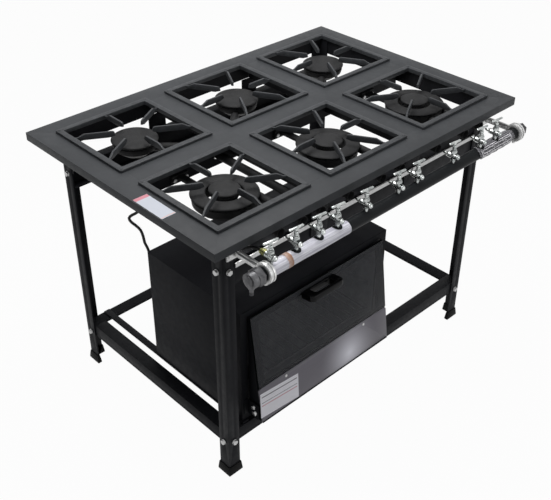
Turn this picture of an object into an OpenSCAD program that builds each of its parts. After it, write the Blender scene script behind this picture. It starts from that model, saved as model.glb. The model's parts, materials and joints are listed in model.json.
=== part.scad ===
// Six-burner commercial gas stove with an oven hung in its angle-iron stand.
// Millimetres, +Z up, front towards -Y, origin on the floor under the middle of the whole stove.

/* [Cooktop plate] */
// Width of the cooktop plate
plate_w = 1146; // [1126:2:1180]
// Depth of the cooktop plate
plate_d = 782; // [770:2:810]
// Height of the plate's top above the floor
plate_top = 805; // [780:5:850]
// Thickness of the plate's sheet
plate_t = 3; // [2:0.5:4]
// Depth of the plate's folded edge
plate_edge = 23; // [20:1:26]
// Distance between burner columns
col_pitch = 366; // [358:1:372]
// Distance between burner rows
row_pitch = 369; // [360:1:372]
// Depth of the stiffening ribs under the plate
rib_depth = 50; // [44:1:56]
// Thickness of the stiffening ribs
rib_t = 3; // [2:0.5:3]

/* [Grates] */
// Outside width of a square grate
grate_w = 300; // [290:2:306]
// Width of a grate's frame bar
grate_bar = 16; // [12:1:20]
// Height of a grate's frame above the plate
grate_rise = 7; // [5:1:10]
// Thickness of a grate's locating lip
lip_t = 3; // [2:0.5:4]
// Depth of a grate's locating lip below the plate's top
lip_depth = 5; // [3:1:8]
// Clearance between the lip and its opening
lip_gap = 1; // [0.5:0.5:2]
// Height of the fingers' tops above the plate
finger_rise = 15; // [12:1:20]
// Height of a finger's blade
finger_h = 17; // [12:1:18]
// Thickness of a finger's blade
finger_t = 5; // [4:0.5:7]
// Distance from a grate's middle to the finger tips
finger_tip = 49; // [44:1:56]
// Height that a grate lifts clear
grate_lift = 60; // [40:5:80]

/* [Burners] */
// Radius of a single burner's cap
single_r = 64; // [58:1:68]
// Outer radius of a double burner's ring cap
ring_r = 87; // [80:1:90]
// Inner radius of a double burner's ring cap
ring_in_r = 48; // [45:1:52]
// Radius of a double burner's inner cap
inner_r = 40; // [34:1:42]
// Depth of the single cap's top below the plate's top
single_drop = 10; // [8:1:14]
// Depth of the ring cap's top below the plate's top
ring_drop = 15; // [13:1:20]
// Depth of the inner cap's top below the plate's top
inner_drop = 6; // [5:1:9]
// Thickness of the burner caps
cap_t = 9; // [7:1:11]
// Outer radius of the burner necks
neck_r = 13; // [11:0.5:13.5]
// Wall of the burner necks
neck_wall = 2.5; // [2:0.5:3.5]
// Distance from a single burner's middle to the elbow of its neck
elbow_back = 124; // [100:2:130]
// Number of flame slots around a cap seat
flame_slots = 32; // [16:2:40]

/* [Stand] */
// Width of the leg angle's flanges
leg_w = 38; // [34:1:44]
// Thickness of the leg angle
leg_t = 3.5; // [3:0.5:5]
// Distance between the outer faces of the left and right legs
stand_w = 1014; // [990:2:1030]
// Distance between the outer faces of the front and rear legs
stand_d = 668; // [650:2:690]
// Height of the pressed feet
shoe_h = 28; // [20:1:36]
// How far a foot flares past the leg
shoe_flare = 5; // [3:0.5:8]
// Depth of the upper channel rails' bottom below the plate's top
upper_rail_drop = 168; // [155:1:205]
// Height of the upper channel rails
upper_rail_h = 70; // [60:1:76]
// Depth of the upper channel's flanges
upper_rail_depth = 30; // [20:1:40]
// Bottom of the lower angle rails
lower_rail_z = 109; // [90:1:130]
// Height of the lower angle rails
lower_rail_h = 41; // [36:1:50]
// Thickness of the rails
rail_t = 3; // [2.5:0.5:4]
// Width of the uprights between the upper rails and the plate
post_w = 60; // [40:2:80]
// Height of the bright tie bar across the front
tie_bar_h = 12; // [8:1:16]
// Size of the frame bolts across the flats of their heads
bolt_head = 13; // [11:1:15]

/* [Gas manifold] */
// Radius of the manifold pipe
pipe_r = 16.7; // [15:0.1:18]
// Wall of the manifold pipe
pipe_wall = 3.4; // [2.5:0.1:4]
// Distance from the plate's front edge to the pipe's axis
pipe_out = 47; // [45:1:55]
// Depth of the pipe's axis below the plate's top
pipe_drop = 76.5; // [74:0.5:84]
// Position of the pipe's left end
pipe_left = -497; // [-500:1:-492]
// Position of the pipe's right end
pipe_right = 536; // [533:1:552]
// Position of the left pipe ring
ring_left = -466; // [-470:1:-466]
// Position of the right pipe ring
ring_right = 522; // [516:1:523]
// Outer radius of the pipe rings
clamp_r = 27; // [24:0.5:28]
// Radius of the hose nipple over its ridges
nipple_r = 5; // [4:0.5:6]
// Height of a valve's body axis above the pipe's axis
valve_rise = 36.5; // [35:0.5:40]
// Length of a valve's handle tab
tab_len = 27; // [20:1:32]
// Height of a valve's handle tab
tab_h = 13; // [9:1:16]
// Angle that a valve's handle turns
handle_turn = 90; // [80:1:90]

/* [Oven] */
// Outside width of the oven
oven_w = 556; // [540:2:570]
// Outside depth of the oven
oven_d = 378; // [360:2:400]
// Outside height of the oven
oven_h = 367; // [350:1:380]
// Position of the oven's middle across the stove
oven_x = -168; // [-176:1:-160]
// Distance from the oven's front to the front legs' outer faces
oven_setback = 12; // [10:1:30]
// Thickness of the oven's sheet
sheet_t = 1.5; // [1:0.25:2]
// Width of the front frame's side members
jamb_w = 22; // [20:1:26]
// Height of the front frame's top member
header_h = 19; // [15:1:24]
// Height of the front frame's bottom member
sill_h = 19; // [15:1:24]
// Gap between the liner and the shell at the sides
liner_gap = 28; // [24:1:34]
// Thickness of the bearers under the oven
bearer_t = 6; // [4:1:10]

/* [Oven door] */
// Tilt of the door's face
door_tilt = 7.9; // [6:0.1:9]
// Clearance between the door and the front frame's members
door_gap = 2; // [1.5:0.5:3]
// Thickness of the door's glass
glass_t = 5; // [4:0.5:6]
// Height of the bright strip at the door's foot
strip_h = 110; // [90:1:120]
// Thickness of the strip's sheet
strip_t = 1.2; // [1:0.2:2]
// Width of the metal border behind the glass
border_w = 28; // [20:1:34]
// Distance from the front frame to the hinge axis
hinge_out = 32; // [30:0.5:33]
// Height of the hinge axis above the door's lower edge
hinge_up = 26; // [24:0.5:28]
// Radius of the hinge pins
hinge_r = 4; // [3:0.5:5]
// Angle that the door opens
door_open = 90; // [80:1:92]
// Width of the handle loop
handle_w = 124; // [110:2:150]
// How far the handle loop stands out
handle_out = 40; // [34:1:50]
// Thickness of the handle's bar
handle_bar = 14; // [12:1:16]
// Height of the handle's bar
handle_h = 16; // [12:1:20]
// How far the handle sits left of the door's middle
handle_shift = 14; // [0:1:20]

/* [Hidden] */
$fn = 48;
fit = 0.3;
slide = 1;

plate_under = plate_top - plate_t;
edge_bottom = plate_top - plate_edge;
rib_bottom = plate_under - rib_depth;
hole_w = grate_w - 2 * grate_bar + 2 * lip_t + 2 * lip_gap;
grate_in = grate_w - 2 * grate_bar;
leg_x = stand_w / 2;
leg_y = stand_d / 2;
leg_foot = 4;
front_y = -plate_d / 2;
pipe_y = front_y - pipe_out;
pipe_z = plate_top - pipe_drop;
valve_z = pipe_z + valve_rise;
// The rings on the pipe are the foremost points, and the plate's rear edge is the rearmost.
shift_y = (plate_d / 2 - (clamp_r - pipe_y)) / -2;

// Valve places from left to right. The first one feeds the oven.
valve_x = [-451, -371, -296, -232, -130, -7, 69, 221, 344, 414];
oven_valve = 0;
single_valves = [3, 4, 7];
inner_valves = [1, 5, 8];
ring_valves = [2, 6, 9];
col_x = [-col_pitch, 0, col_pitch];
row_y = [-row_pitch / 2, row_pitch / 2];
mouth_y = front_y + 3;

upper_rail_z = plate_top - upper_rail_drop;
post_x = col_pitch / 2;
post_z0 = upper_rail_z + 16;
tie_z = upper_rail_z + upper_rail_h - tie_bar_h;
tie_bar_t = 4;
beam_t = 4;
beam_z0 = valve_z - 30;
rail_face_x = leg_x - leg_t - fit;
rail_face_y = leg_y - leg_t - fit;
bolt_in = leg_w / 2;
bolt_h = bolt_head * 0.45;
upper_bolt_z = upper_rail_z + upper_rail_h * 0.67;
lower_bolt_z = lower_rail_z + 9;

oven_z0 = lower_rail_z + lower_rail_h + bearer_t;
oven_z1 = oven_z0 + oven_h;
oven_y0 = -leg_y + oven_setback;
oven_y1 = oven_y0 + oven_d;
frame_t = 2;
liner_w = oven_w - 2 * liner_gap;
liner_z0 = oven_z0 + 24;
liner_z1 = oven_z1 - 28;
liner_y1 = oven_y1 - 28;
floor_z = liner_z0 + sheet_t + fit;
runner_z = [oven_z0 + 84, oven_z0 + 174, oven_z0 + 264];
rack_level = 0;
gas_z = oven_z0 + 13;

door_w = oven_w - 2 * (jamb_w + door_gap);
door_z0 = oven_z0 + sill_h - 3;
door_z1 = oven_z1 - header_h - 1;
door_back = oven_y0 - 2.5;
face_gap = 0.3;
door_len = (door_z1 - door_z0) / cos(door_tilt);
hinge_y = oven_y0 - hinge_out;
hinge_z = door_z0 + hinge_up;
strip_top_r = 9;
strip_screw_x = 155;
strip_screw_r = 2;
ear_front = 12;
ear_below = 20;
ear_above = 32;
ear_foot = 14;
stop_y = 5;
stop_z = 17;
handle_v = 20;
ear_t = 2;
ear_gap = 4;

// Route of the oven's gas tube, from the nut on its valve to the back of the oven.
// The first points are counted from the valve's axis, the next from the tube's foot and the oven's top.
tube_r = 4;
tube_sides = 10;
tube_end = [oven_x - oven_w / 2 + 15, oven_y1 + 10];
tube_high = [
    [0, 28, 0], [0, 42, 0], [0, 66, -8], [-1, 98, -25], [-5, 158, -37],
    [-12, 278, -43], [-16, 378, -46], [-13, 438, -52]
];
tube_low = [
    [-24, -24, 167], [-27, -4, 132], [-45, 0, 127], [-55, 0, 122], [-50, 0, 108],
    [-35, 0, 88], [-23, 0, 69], [-17, 0, 47], [-14, 0, 25], [-6, 0, 1], [-1, 0, -27],
    [0, 0, -83], [0, 0, -203]
];
tube_route = concat(
    [for (p = tube_high) [valve_x[oven_valve] + p[0], pipe_y + p[1], valve_z + p[2]]],
    [for (p = tube_low) [tube_end[0] + p[0], tube_end[1] + p[1], oven_z1 + p[2]]],
    [for (rise = [41, 11]) [tube_end[0], tube_end[1], gas_z + rise]]
);

// Shapes used by several pieces

module rounded(w, d, r) {
    square([w - 2 * r, d], center = true);
    square([w, d - 2 * r], center = true);
    for (x = [-1, 1]) {
        for (y = [-1, 1]) {
            translate([x * (w / 2 - r), y * (d / 2 - r)]) circle(r = r);
        }
    }
}

module block(x, y, z) {
    translate([x[0], y[0], z[0]]) cube([x[1] - x[0], y[1] - y[0], z[1] - z[0]]);
}

module rod_x(x, y, z, r) {
    translate([x[0], y, z]) rotate([0, 90, 0]) cylinder(r = r, h = x[1] - x[0]);
}

module rod_y(x, y, z, r) {
    translate([x, y[0], z]) rotate([-90, 0, 0]) cylinder(r = r, h = y[1] - y[0]);
}

module rod_z(x, y, z, r) {
    translate([x, y, z[0]]) cylinder(r = r, h = z[1] - z[0]);
}

module hex_prism(flats, h) {
    cylinder(d = flats / cos(30), h = h, $fn = 6);
}

module four_corners() {
    for (mx = [0, 1]) {
        for (my = [0, 1]) {
            mirror([mx, 0, 0]) mirror([0, my, 0]) children();
        }
    }
}

module place() {
    translate([0, shift_y, 0]) children();
}

// Cooktop

module top_plate() {
    color("dimgray") place() difference() {
        block([-plate_w / 2, plate_w / 2], [-plate_d / 2, plate_d / 2], [edge_bottom, plate_top]);
        block(
            [-plate_w / 2 + plate_t, plate_w / 2 - plate_t],
            [-plate_d / 2 + plate_t, plate_d / 2 - plate_t],
            [edge_bottom - 1, plate_under]
        );
        for (x = col_x) {
            for (y = row_y) {
                translate([x, y, plate_under - 1]) {
                    linear_extrude(height = plate_t + 2) rounded(hole_w, hole_w, 3);
                }
            }
        }
    }
}

module plate_ribs() {
    x0 = leg_x + fit;
    y0 = leg_y + fit;
    z = [rib_bottom, plate_under];
    color("dimgray") place() {
        for (s = [-1, 1]) {
            translate([s * (x0 + rib_t / 2), 0, 0]) {
                block([-rib_t / 2, rib_t / 2], [-y0 + fit, y0 - fit], z);
            }
        }
        difference() {
            for (s = [-1, 1]) {
                translate([0, s * (y0 + rib_t / 2), 0]) {
                    block([-x0 - rib_t, x0 + rib_t], [-rib_t / 2, rib_t / 2], z);
                }
            }
            // Slots over the necks and over the oven's gas tube
            for (i = concat(single_valves, inner_valves, ring_valves)) {
                neck_slot(valve_x[i]);
            }
        }
        for (s = [-1, 1]) {
            for (side = [0, 1]) {
                mirror([0, side, 0]) {
                    block(
                        [s * post_x - rib_t / 2, s * post_x + rib_t / 2],
                        [beam_t / 2 + fit, leg_y - leg_t - fit],
                        z
                    );
                }
            }
        }
    }
}

module neck_slot(x) {
    r = neck_r + slide;
    y = [-leg_y - rib_t - 2, -leg_y + 2];
    rod_y(x, y, valve_z, r);
    block([x - r, x + r], y, [rib_bottom - 1, valve_z]);
}

// Stand

module leg_profile(gap) {
    difference() {
        translate([-gap, -gap]) square(leg_w + 2 * gap);
        translate([leg_t + gap, leg_t + gap]) square(leg_w + 4 * gap + 1);
    }
}

module leg() {
    color("#2b2c2e") difference() {
        translate([-leg_x, -leg_y, leg_foot]) {
            linear_extrude(height = plate_under - fit - leg_foot) leg_profile(0);
        }
        for (z = [upper_bolt_z, lower_bolt_z]) {
            rod_y(-leg_x + bolt_in, [-leg_y - 1, -leg_y + leg_t + 1], z, 4.2);
            rod_x([-leg_x - 1, -leg_x + leg_t + 1], -leg_y + bolt_in, z, 4.2);
        }
    }
}

module leg_front_left() {
    place() leg();
}

module leg_front_right() {
    place() mirror([1, 0, 0]) leg();
}

module leg_rear_left() {
    place() mirror([0, 1, 0]) leg();
}

module leg_rear_right() {
    place() mirror([1, 0, 0]) mirror([0, 1, 0]) leg();
}

module shoe_flange(len, low, high) {
    hull() {
        translate([-low, -low, 0]) cube([len + low, low + 8, 5]);
        translate([-high, -high, shoe_h - 2]) cube([len, high + 5, 2]);
    }
}

module leg_shoes() {
    color("#1d1e1f") place() four_corners() translate([-leg_x, -leg_y, 0]) difference() {
        union() {
            shoe_flange(leg_w + shoe_flare, shoe_flare, 2);
            mirror([1, -1, 0]) shoe_flange(leg_w + shoe_flare, shoe_flare, 2);
        }
        translate([0, 0, leg_foot - fit]) linear_extrude(height = shoe_h) leg_profile(fit);
    }
}

module upper_rail() {
    x = rail_face_x;
    z1 = upper_rail_z + upper_rail_h;
    y0 = -rail_face_y;
    difference() {
        union() {
            block([-x, x], [y0, y0 + rail_t], [upper_rail_z, z1]);
            block([-x, x], [y0, y0 + upper_rail_depth], [upper_rail_z, upper_rail_z + rail_t]);
            block([-x, x], [y0, y0 + upper_rail_depth], [z1 - rail_t, z1]);
            for (s = [0, 1]) {
                mirror([s, 0, 0]) {
                    block([-x, -x + rail_t], [y0, y0 + upper_rail_depth], [upper_rail_z, z1]);
                }
            }
        }
        for (s = [0, 1]) {
            mirror([s, 0, 0]) {
                rod_y(-leg_x + bolt_in, [y0 - 1, y0 + rail_t + 1], upper_bolt_z, 4.2);
                rod_x([-x - 1, -x + rail_t + 1], -leg_y + bolt_in, upper_bolt_z, 4.2);
            }
        }
    }
}

module upper_rails() {
    color("#2b2c2e") place() {
        upper_rail();
        mirror([0, 1, 0]) upper_rail();
        uprights();
    }
}

module lower_rail_long() {
    x = rail_face_x;
    y0 = -rail_face_y;
    z1 = lower_rail_z + lower_rail_h;
    difference() {
        union() {
            block([-x, x], [y0, y0 + rail_t], [lower_rail_z, z1]);
            block([-x + rail_t + fit, x - rail_t - fit], [y0, y0 + leg_w], [z1 - rail_t, z1]);
        }
        for (s = [-1, 1]) {
            rod_y(s * (leg_x - bolt_in), [y0 - 1, y0 + rail_t + 1], lower_bolt_z, 4.2);
        }
    }
}

module lower_rail_side() {
    x0 = -rail_face_x;
    y = rail_face_y - rail_t - fit;
    z1 = lower_rail_z + lower_rail_h;
    flange_y = rail_face_y - leg_w - fit;
    difference() {
        union() {
            block([x0, x0 + rail_t], [-y, y], [lower_rail_z, z1]);
            block([x0, x0 + leg_w], [-flange_y, flange_y], [z1 - rail_t, z1]);
        }
        for (s = [-1, 1]) {
            rod_x([x0 - 1, x0 + rail_t + 1], s * (leg_y - bolt_in), lower_bolt_z, 4.2);
        }
    }
}

module lower_rails() {
    color("#2b2c2e") place() {
        lower_rail_long();
        mirror([0, 1, 0]) lower_rail_long();
        lower_rail_side();
        mirror([1, 0, 0]) lower_rail_side();
    }
}

module oven_bearers() {
    w = 20;
    z0 = lower_rail_z + lower_rail_h;
    y = rail_face_y - rail_t - fit;
    color("#242526") place() {
        for (s = [-1, 1]) {
            translate([oven_x + s * (oven_w / 2 - w / 2 + 2), 0, 0]) {
                block([-w / 2, w / 2], [-y, y], [z0, z0 + bearer_t]);
            }
        }
    }
}

module burner_beam() {
    x = leg_x;
    color("#2b2c2e") place() difference() {
        block([-x, x], [-beam_t / 2, beam_t / 2], [beam_z0, plate_under - fit]);
        for (i = single_valves) {
            rod_y(valve_x[i], [-beam_t, beam_t], valve_z, neck_r + fit);
        }
        for (cx = col_x) {
            for (s = [-1, 1]) {
                rod_y(cx + s * lug_bolt, [-beam_t, beam_t], valve_z - 16, 3.3);
            }
        }
    }
}

// Uprights that carry the plate's ribs on the upper rails
module uprights() {
    y0 = leg_y - leg_t;
    difference() {
        for (x = [-post_x, post_x]) {
            for (s = [0, 1]) {
                mirror([0, s, 0]) {
                    block([x - post_w / 2, x + post_w / 2], [y0, leg_y], [post_z0, rib_bottom - fit]);
                }
            }
        }
        for (x = [-post_x, post_x]) {
            rod_y(x, [-leg_y - 1, -y0 + 1], tie_z, 2.7);
        }
    }
}

module front_tie_bar() {
    x = leg_x - leg_w - fit;
    z0 = tie_z - tie_bar_h / 2;
    color("silver") place() {
        difference() {
            block([-x, x], [-leg_y - tie_bar_t, -leg_y - fit], [z0, z0 + tie_bar_h]);
            for (s = [-1, 1]) {
                rod_y(s * post_x, [-leg_y - tie_bar_t - 1, -leg_y + 1], tie_z, 2.7);
            }
        }
    }
}

// A bolt along +X with its washer and head outside and its nut inside
module bolt(grip) {
    rotate([0, 90, 0]) {
        translate([0, 0, -bolt_h - 1.5 - fit / 2]) hex_prism(bolt_head, bolt_h);
        translate([0, 0, -1.5 - fit / 2]) cylinder(r = bolt_head * 0.6, h = 1.5);
        translate([0, 0, -2]) cylinder(r = 3.9, h = grip + 7);
        translate([0, 0, grip + fit / 2]) hex_prism(bolt_head, 5);
    }
}

module corner_bolts() {
    grip = leg_t + fit + rail_t;
    for (z = [upper_bolt_z, lower_bolt_z]) {
        translate([-leg_x, -leg_y + bolt_in, z]) bolt(grip);
        translate([-leg_x + bolt_in, -leg_y, z]) rotate([0, 0, 90]) bolt(grip);
    }
}

module frame_bolts() {
    color("silver") place() {
        four_corners() corner_bolts();
        for (cx = col_x) {
            for (s = [-1, 1]) {
                translate([cx + s * lug_bolt, beam_t / 2, valve_z - 16]) {
                    rotate([-90, 0, 0]) translate([0, 0, fit / 2]) hex_prism(10, 5);
                    rotate([90, 0, 0]) translate([0, 0, -4]) {
                        cylinder(r = 3, h = beam_t + 8 + lug_t + fit);
                    }
                    rotate([90, 0, 0]) translate([0, 0, beam_t + lug_t + 1.5 * fit]) hex_prism(10, 4);
                }
            }
        }
        for (s = [-1, 1]) {
            translate([s * post_x, -leg_y - tie_bar_t - fit / 2, tie_z]) rotate([90, 0, 0]) {
                cylinder(r = 4.5, h = 2.5);
                translate([0, 0, -tie_bar_t - leg_t + fit]) cylinder(r = 2.5, h = tie_bar_t + leg_t + 1);
            }
        }
    }
}

// Gas manifold

module manifold_pipe() {
    color("#3a3b3d") place() difference() {
        rod_x([pipe_left, pipe_right], pipe_y, pipe_z, pipe_r);
        rod_x([pipe_left - 1, pipe_right + 1], pipe_y, pipe_z, pipe_r - pipe_wall);
        for (x = valve_x) {
            rod_z(x, pipe_y, [pipe_z, pipe_z + pipe_r + 5], shank_r + fit / 3);
        }
    }
}

module pipe_ring(x) {
    w = 17;
    tab_y = -leg_y - fit;
    bolt_x = x - 21;
    arm_z = pipe_z + 4;
    difference() {
        union() {
            rod_x([x - w / 2, x + w / 2], pipe_y, pipe_z, clamp_r - 1.5);
            for (s = [-1, 1]) {
                rod_x([x + s * 5 - 2.5, x + s * 5 + 2.5], pipe_y, pipe_z, clamp_r);
            }
            // Arm from the ring back to the leg, with its rib on top and its tab on the leg's flange
            translate([0, 0, arm_z - 4.5]) linear_extrude(height = 9) polygon([
                [x - 8, tab_y - 2], [x + 8, tab_y - 2],
                [x + 8, pipe_y + 34], [x + w / 2, pipe_y + 18],
                [x - w / 2, pipe_y + 18], [x - 8, pipe_y + 34]
            ]);
            block([x - 2.5, x + 2.5], [pipe_y + 22, tab_y - 2], [arm_z, arm_z + 9]);
            block([x - 30, x + 8], [tab_y - 5, tab_y], [arm_z - 14, arm_z + 11]);
            // Boss of the set screw
            rod_z(x, pipe_y, [pipe_z - clamp_r - 2, pipe_z - pipe_r - 2], 6);
        }
        rod_x([x - w, x + w], pipe_y, pipe_z, pipe_r + fit / 2);
        rod_z(x, pipe_y, [pipe_z - clamp_r - 5, pipe_z], 3.1);
        rod_y(bolt_x, [tab_y - 6, tab_y + 1], arm_z, 4.2);
    }
    translate([x, pipe_y, 0]) {
        rod_z(0, 0, [pipe_z - clamp_r - 6, pipe_z - pipe_r - fit], 2.9);
        rod_z(0, 0, [pipe_z - clamp_r - 7, pipe_z - clamp_r - 3], 4.6);
    }
    translate([bolt_x, tab_y - 5 - fit / 2, arm_z]) rotate([90, 0, 0]) {
        hex_prism(10, 5);
        translate([0, 0, -5]) cylinder(r = 4, h = 6);
    }
}

module manifold_brackets() {
    color("darkgray") place() {
        pipe_ring(ring_left);
        pipe_ring(ring_right);
    }
}

module inlet_elbow() {
    x0 = pipe_left - 21;
    x1 = pipe_left + 14;
    drop_x = x0 + 8;
    tip_z = pipe_z - 40;
    color("silver") place() {
        difference() {
            union() {
                translate([x0 + 17, pipe_y, pipe_z]) rotate([0, 90, 0]) hex_prism(41, x1 - x0 - 17);
                rod_x([x0, x0 + 17], pipe_y, pipe_z, 20);
                rod_x([x0 - 3, x0], pipe_y, pipe_z, 15);
                rod_z(drop_x, pipe_y, [pipe_z - 23, pipe_z], 7.5);
                rod_z(drop_x, pipe_y, [tip_z, pipe_z], nipple_r);
            }
            rod_x([pipe_left - 1, x1 + 1], pipe_y, pipe_z, pipe_r + fit / 3);
            rod_x([x0 + 4, pipe_left], pipe_y, pipe_z, 12);
            rod_z(drop_x, pipe_y, [tip_z - 1, pipe_z], 2.6);
            // Grooves between the hose ridges
            for (i = [0:2]) {
                translate([drop_x, pipe_y, tip_z + 1.4 + i * 2.4]) difference() {
                    cylinder(r = nipple_r + 2, h = 1.2);
                    translate([0, 0, -1]) cylinder(r = nipple_r - 0.8, h = 4);
                }
            }
        }
    }
}

module end_plug() {
    color("darkgray") place() {
        rod_x([pipe_right - 12, pipe_right + 1], pipe_y, pipe_z, pipe_r - pipe_wall - fit / 3);
        rod_x([pipe_right + fit, pipe_right + 3], pipe_y, pipe_z, pipe_r);
        translate([pipe_right + 3, pipe_y, pipe_z]) rotate([0, 90, 0]) hex_prism(31, 16);
    }
}

// Valves

shank_r = 5.5;
collar_r = 6.2;
collar_h = 6;
web_t = 6;
web_w = 14;
body_r = 8;
body_front = 10;
body_rear = 14;
body_y = [pipe_y - body_front, pipe_y + body_rear];
ball_r = 7;
bonnet_r = 7;
bonnet_flats = 15;
bonnet_rise = 9;
bonnet_h = 7;
stem_r = 5;
stem_h = 6;
stem_z = valve_z + bonnet_rise + bonnet_h + stem_h + 3;
socket_r = 4.6;
socket_depth = 7;
thread_r = 4.5;
thread_len = 6;
jet_flats = 13;
jet_r = 4;
jet_tip_r = 2;
jet_bore = 0.9;
jet_nut = 6;
jet_len = 20;
union_flats = 16;
union_nut = 12;
union_r = 7;
union_len = 17;

module valve_body(x) {
    seat = pipe_z + pipe_r;
    rod_z(x, pipe_y, [seat - pipe_wall, valve_z], shank_r);
    rod_z(x, pipe_y, [seat + web_t / 2, seat + web_t / 2 + collar_h], collar_r);
    // Cast web that stands each side of the shank
    translate([x, pipe_y + web_t / 2, 0]) rotate([90, 0, 0]) {
        linear_extrude(height = web_t) polygon([
            [-web_w * 0.29, seat + 4], [web_w * 0.29, seat + 4],
            [web_w / 2, valve_z - 6], [web_w / 2, valve_z + 4],
            [-web_w / 2, valve_z + 4], [-web_w / 2, valve_z - 6]
        ]);
    }
    difference() {
        union() {
            rod_y(x, body_y, valve_z, body_r);
            translate([x, body_y[0] - ball_r * 0.43, valve_z]) sphere(r = ball_r);
            rod_z(x, pipe_y, [valve_z, stem_z - stem_h], bonnet_r);
            translate([x, pipe_y, valve_z + bonnet_rise]) hex_prism(bonnet_flats, bonnet_h);
            rod_z(x, pipe_y, [stem_z - stem_h, stem_z - fit], stem_r);
        }
        rod_y(x, [body_y[1] - socket_depth, body_y[1] + 1], valve_z, socket_r);
    }
}

module valve_bodies() {
    color("lightgray") place() {
        for (x = valve_x) {
            valve_body(x);
        }
    }
}

module injector(x) {
    y = body_y[1];
    difference() {
        union() {
            rod_y(x, [y - thread_len, y + 2], valve_z, thread_r);
            translate([x, y + fit, valve_z]) rotate([-90, 0, 0]) hex_prism(jet_flats, jet_nut);
            rod_y(x, [y + jet_nut, y + jet_len * 0.7], valve_z, jet_r);
            translate([x, y + jet_len * 0.7, valve_z]) rotate([-90, 0, 0]) {
                cylinder(r1 = jet_r, r2 = jet_tip_r, h = jet_len * 0.3);
            }
        }
        rod_y(x, [y - thread_len - 1, y + jet_len + 2], valve_z, jet_bore);
    }
}

module oven_union(x) {
    y = body_y[1];
    difference() {
        union() {
            rod_y(x, [y - thread_len, y + 2], valve_z, thread_r);
            translate([x, y + fit, valve_z]) rotate([-90, 0, 0]) hex_prism(union_flats, union_nut);
            rod_y(x, [y + union_nut, y + union_len], valve_z, union_r);
        }
        rod_y(x, [y - thread_len - 1, y + union_len + 5], valve_z, jet_tip_r);
        rod_y(x, [y + union_len - 7, y + union_len + 5], valve_z, tube_r + 0.4);
    }
}

module valve_injectors() {
    color("goldenrod") place() {
        for (i = [0:len(valve_x) - 1]) {
            if (i == oven_valve) {
                oven_union(valve_x[i]);
            } else {
                injector(valve_x[i]);
            }
        }
    }
}

module valve_handle(i) {
    x = valve_x[i];
    color("lightgray") place() translate([x, pipe_y, 0]) {
        rod_z(0, 0, [stem_z, stem_z + 10], 5.5);
        translate([0, 2, stem_z + 6]) rotate([90, 0, 0]) linear_extrude(height = 4) {
            translate([0, tab_h / 2]) rounded(tab_len, tab_h, 2.5);
        }
    }
}

// Burners

module flame_ring(r, z, depth) {
    for (i = [0:flame_slots - 1]) {
        rotate([0, 0, (i + 0.5) * 360 / flame_slots]) {
            translate([r - 6.5, -1.1, z - depth]) cube([10.5, 2.2, depth + 2]);
        }
    }
}

module neck(x, y1) {
    rod_y(x, [mouth_y + 14, y1], valve_z, tube_out);
    translate([x, mouth_y, valve_z]) rotate([-90, 0, 0]) {
        cylinder(r = neck_r, h = 6);
        translate([0, 0, 6]) cylinder(r1 = neck_r, r2 = tube_out, h = 8);
    }
}

module neck_mouth(x, y1) {
    translate([x, mouth_y - 1, valve_z]) rotate([-90, 0, 0]) {
        cylinder(r1 = neck_r - 1, r2 = tube_in, h = 16);
        translate([0, 0, 15.9]) cylinder(r = tube_in, h = y1 - mouth_y - 14.9);
    }
}

module single_burner(i) {
    cx = col_x[i];
    cy = row_y[1];
    nx = valve_x[single_valves[i]];
    top = plate_top - single_drop - cap_t - fit;
    bend = [nx, cy - elbow_back];
    reach = [cx, cy] - bend;
    difference() {
        union() {
            difference() {
                translate([cx, cy, 0]) rotate_extrude($fn = 64) polygon([
                    [0, valve_z - 16], [34, valve_z - 16], [single_r - 22, valve_z - 10],
                    [single_r - 6, valve_z + 2], [single_r - 3, top - 9],
                    [single_r - 3, top - 3], [single_r - 7, top], [0, top]
                ]);
                translate([cx, cy, 0]) rotate_extrude($fn = 64) polygon([
                    [0, valve_z - 12], [30, valve_z - 12], [single_r - 25, valve_z - 6],
                    [single_r - 11, valve_z + 4], [single_r - 11, top + 1], [0, top + 1]
                ]);
            }
            neck(nx, bend[1]);
            rod_z(nx, bend[1], [valve_z - neck_r, valve_z + neck_r], tube_out + 2);
            translate([nx, bend[1], valve_z]) rotate([0, 90, atan2(reach[1], reach[0])]) {
                cylinder(r = tube_out, h = norm(reach) - single_r + 26);
            }
        }
        neck_mouth(nx, bend[1]);
        rod_z(nx, bend[1], [valve_z - tube_in - 0.5, valve_z + tube_in + 0.5], tube_in + 0.7);
        translate([nx, bend[1], valve_z]) rotate([0, 90, atan2(reach[1], reach[0])]) {
            cylinder(r = tube_in, h = norm(reach) - single_r + 27);
        }
        translate([cx, cy, 0]) flame_ring(single_r - 5.5, top, 4);
    }
}

module single_burners() {
    color("#3b3b3c") place() {
        for (i = [0:2]) {
            single_burner(i);
        }
    }
}

lug_t = 6;
lug_bolt = 19;
tube_out = neck_r - 1.5;
tube_in = tube_out - neck_wall;

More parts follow.
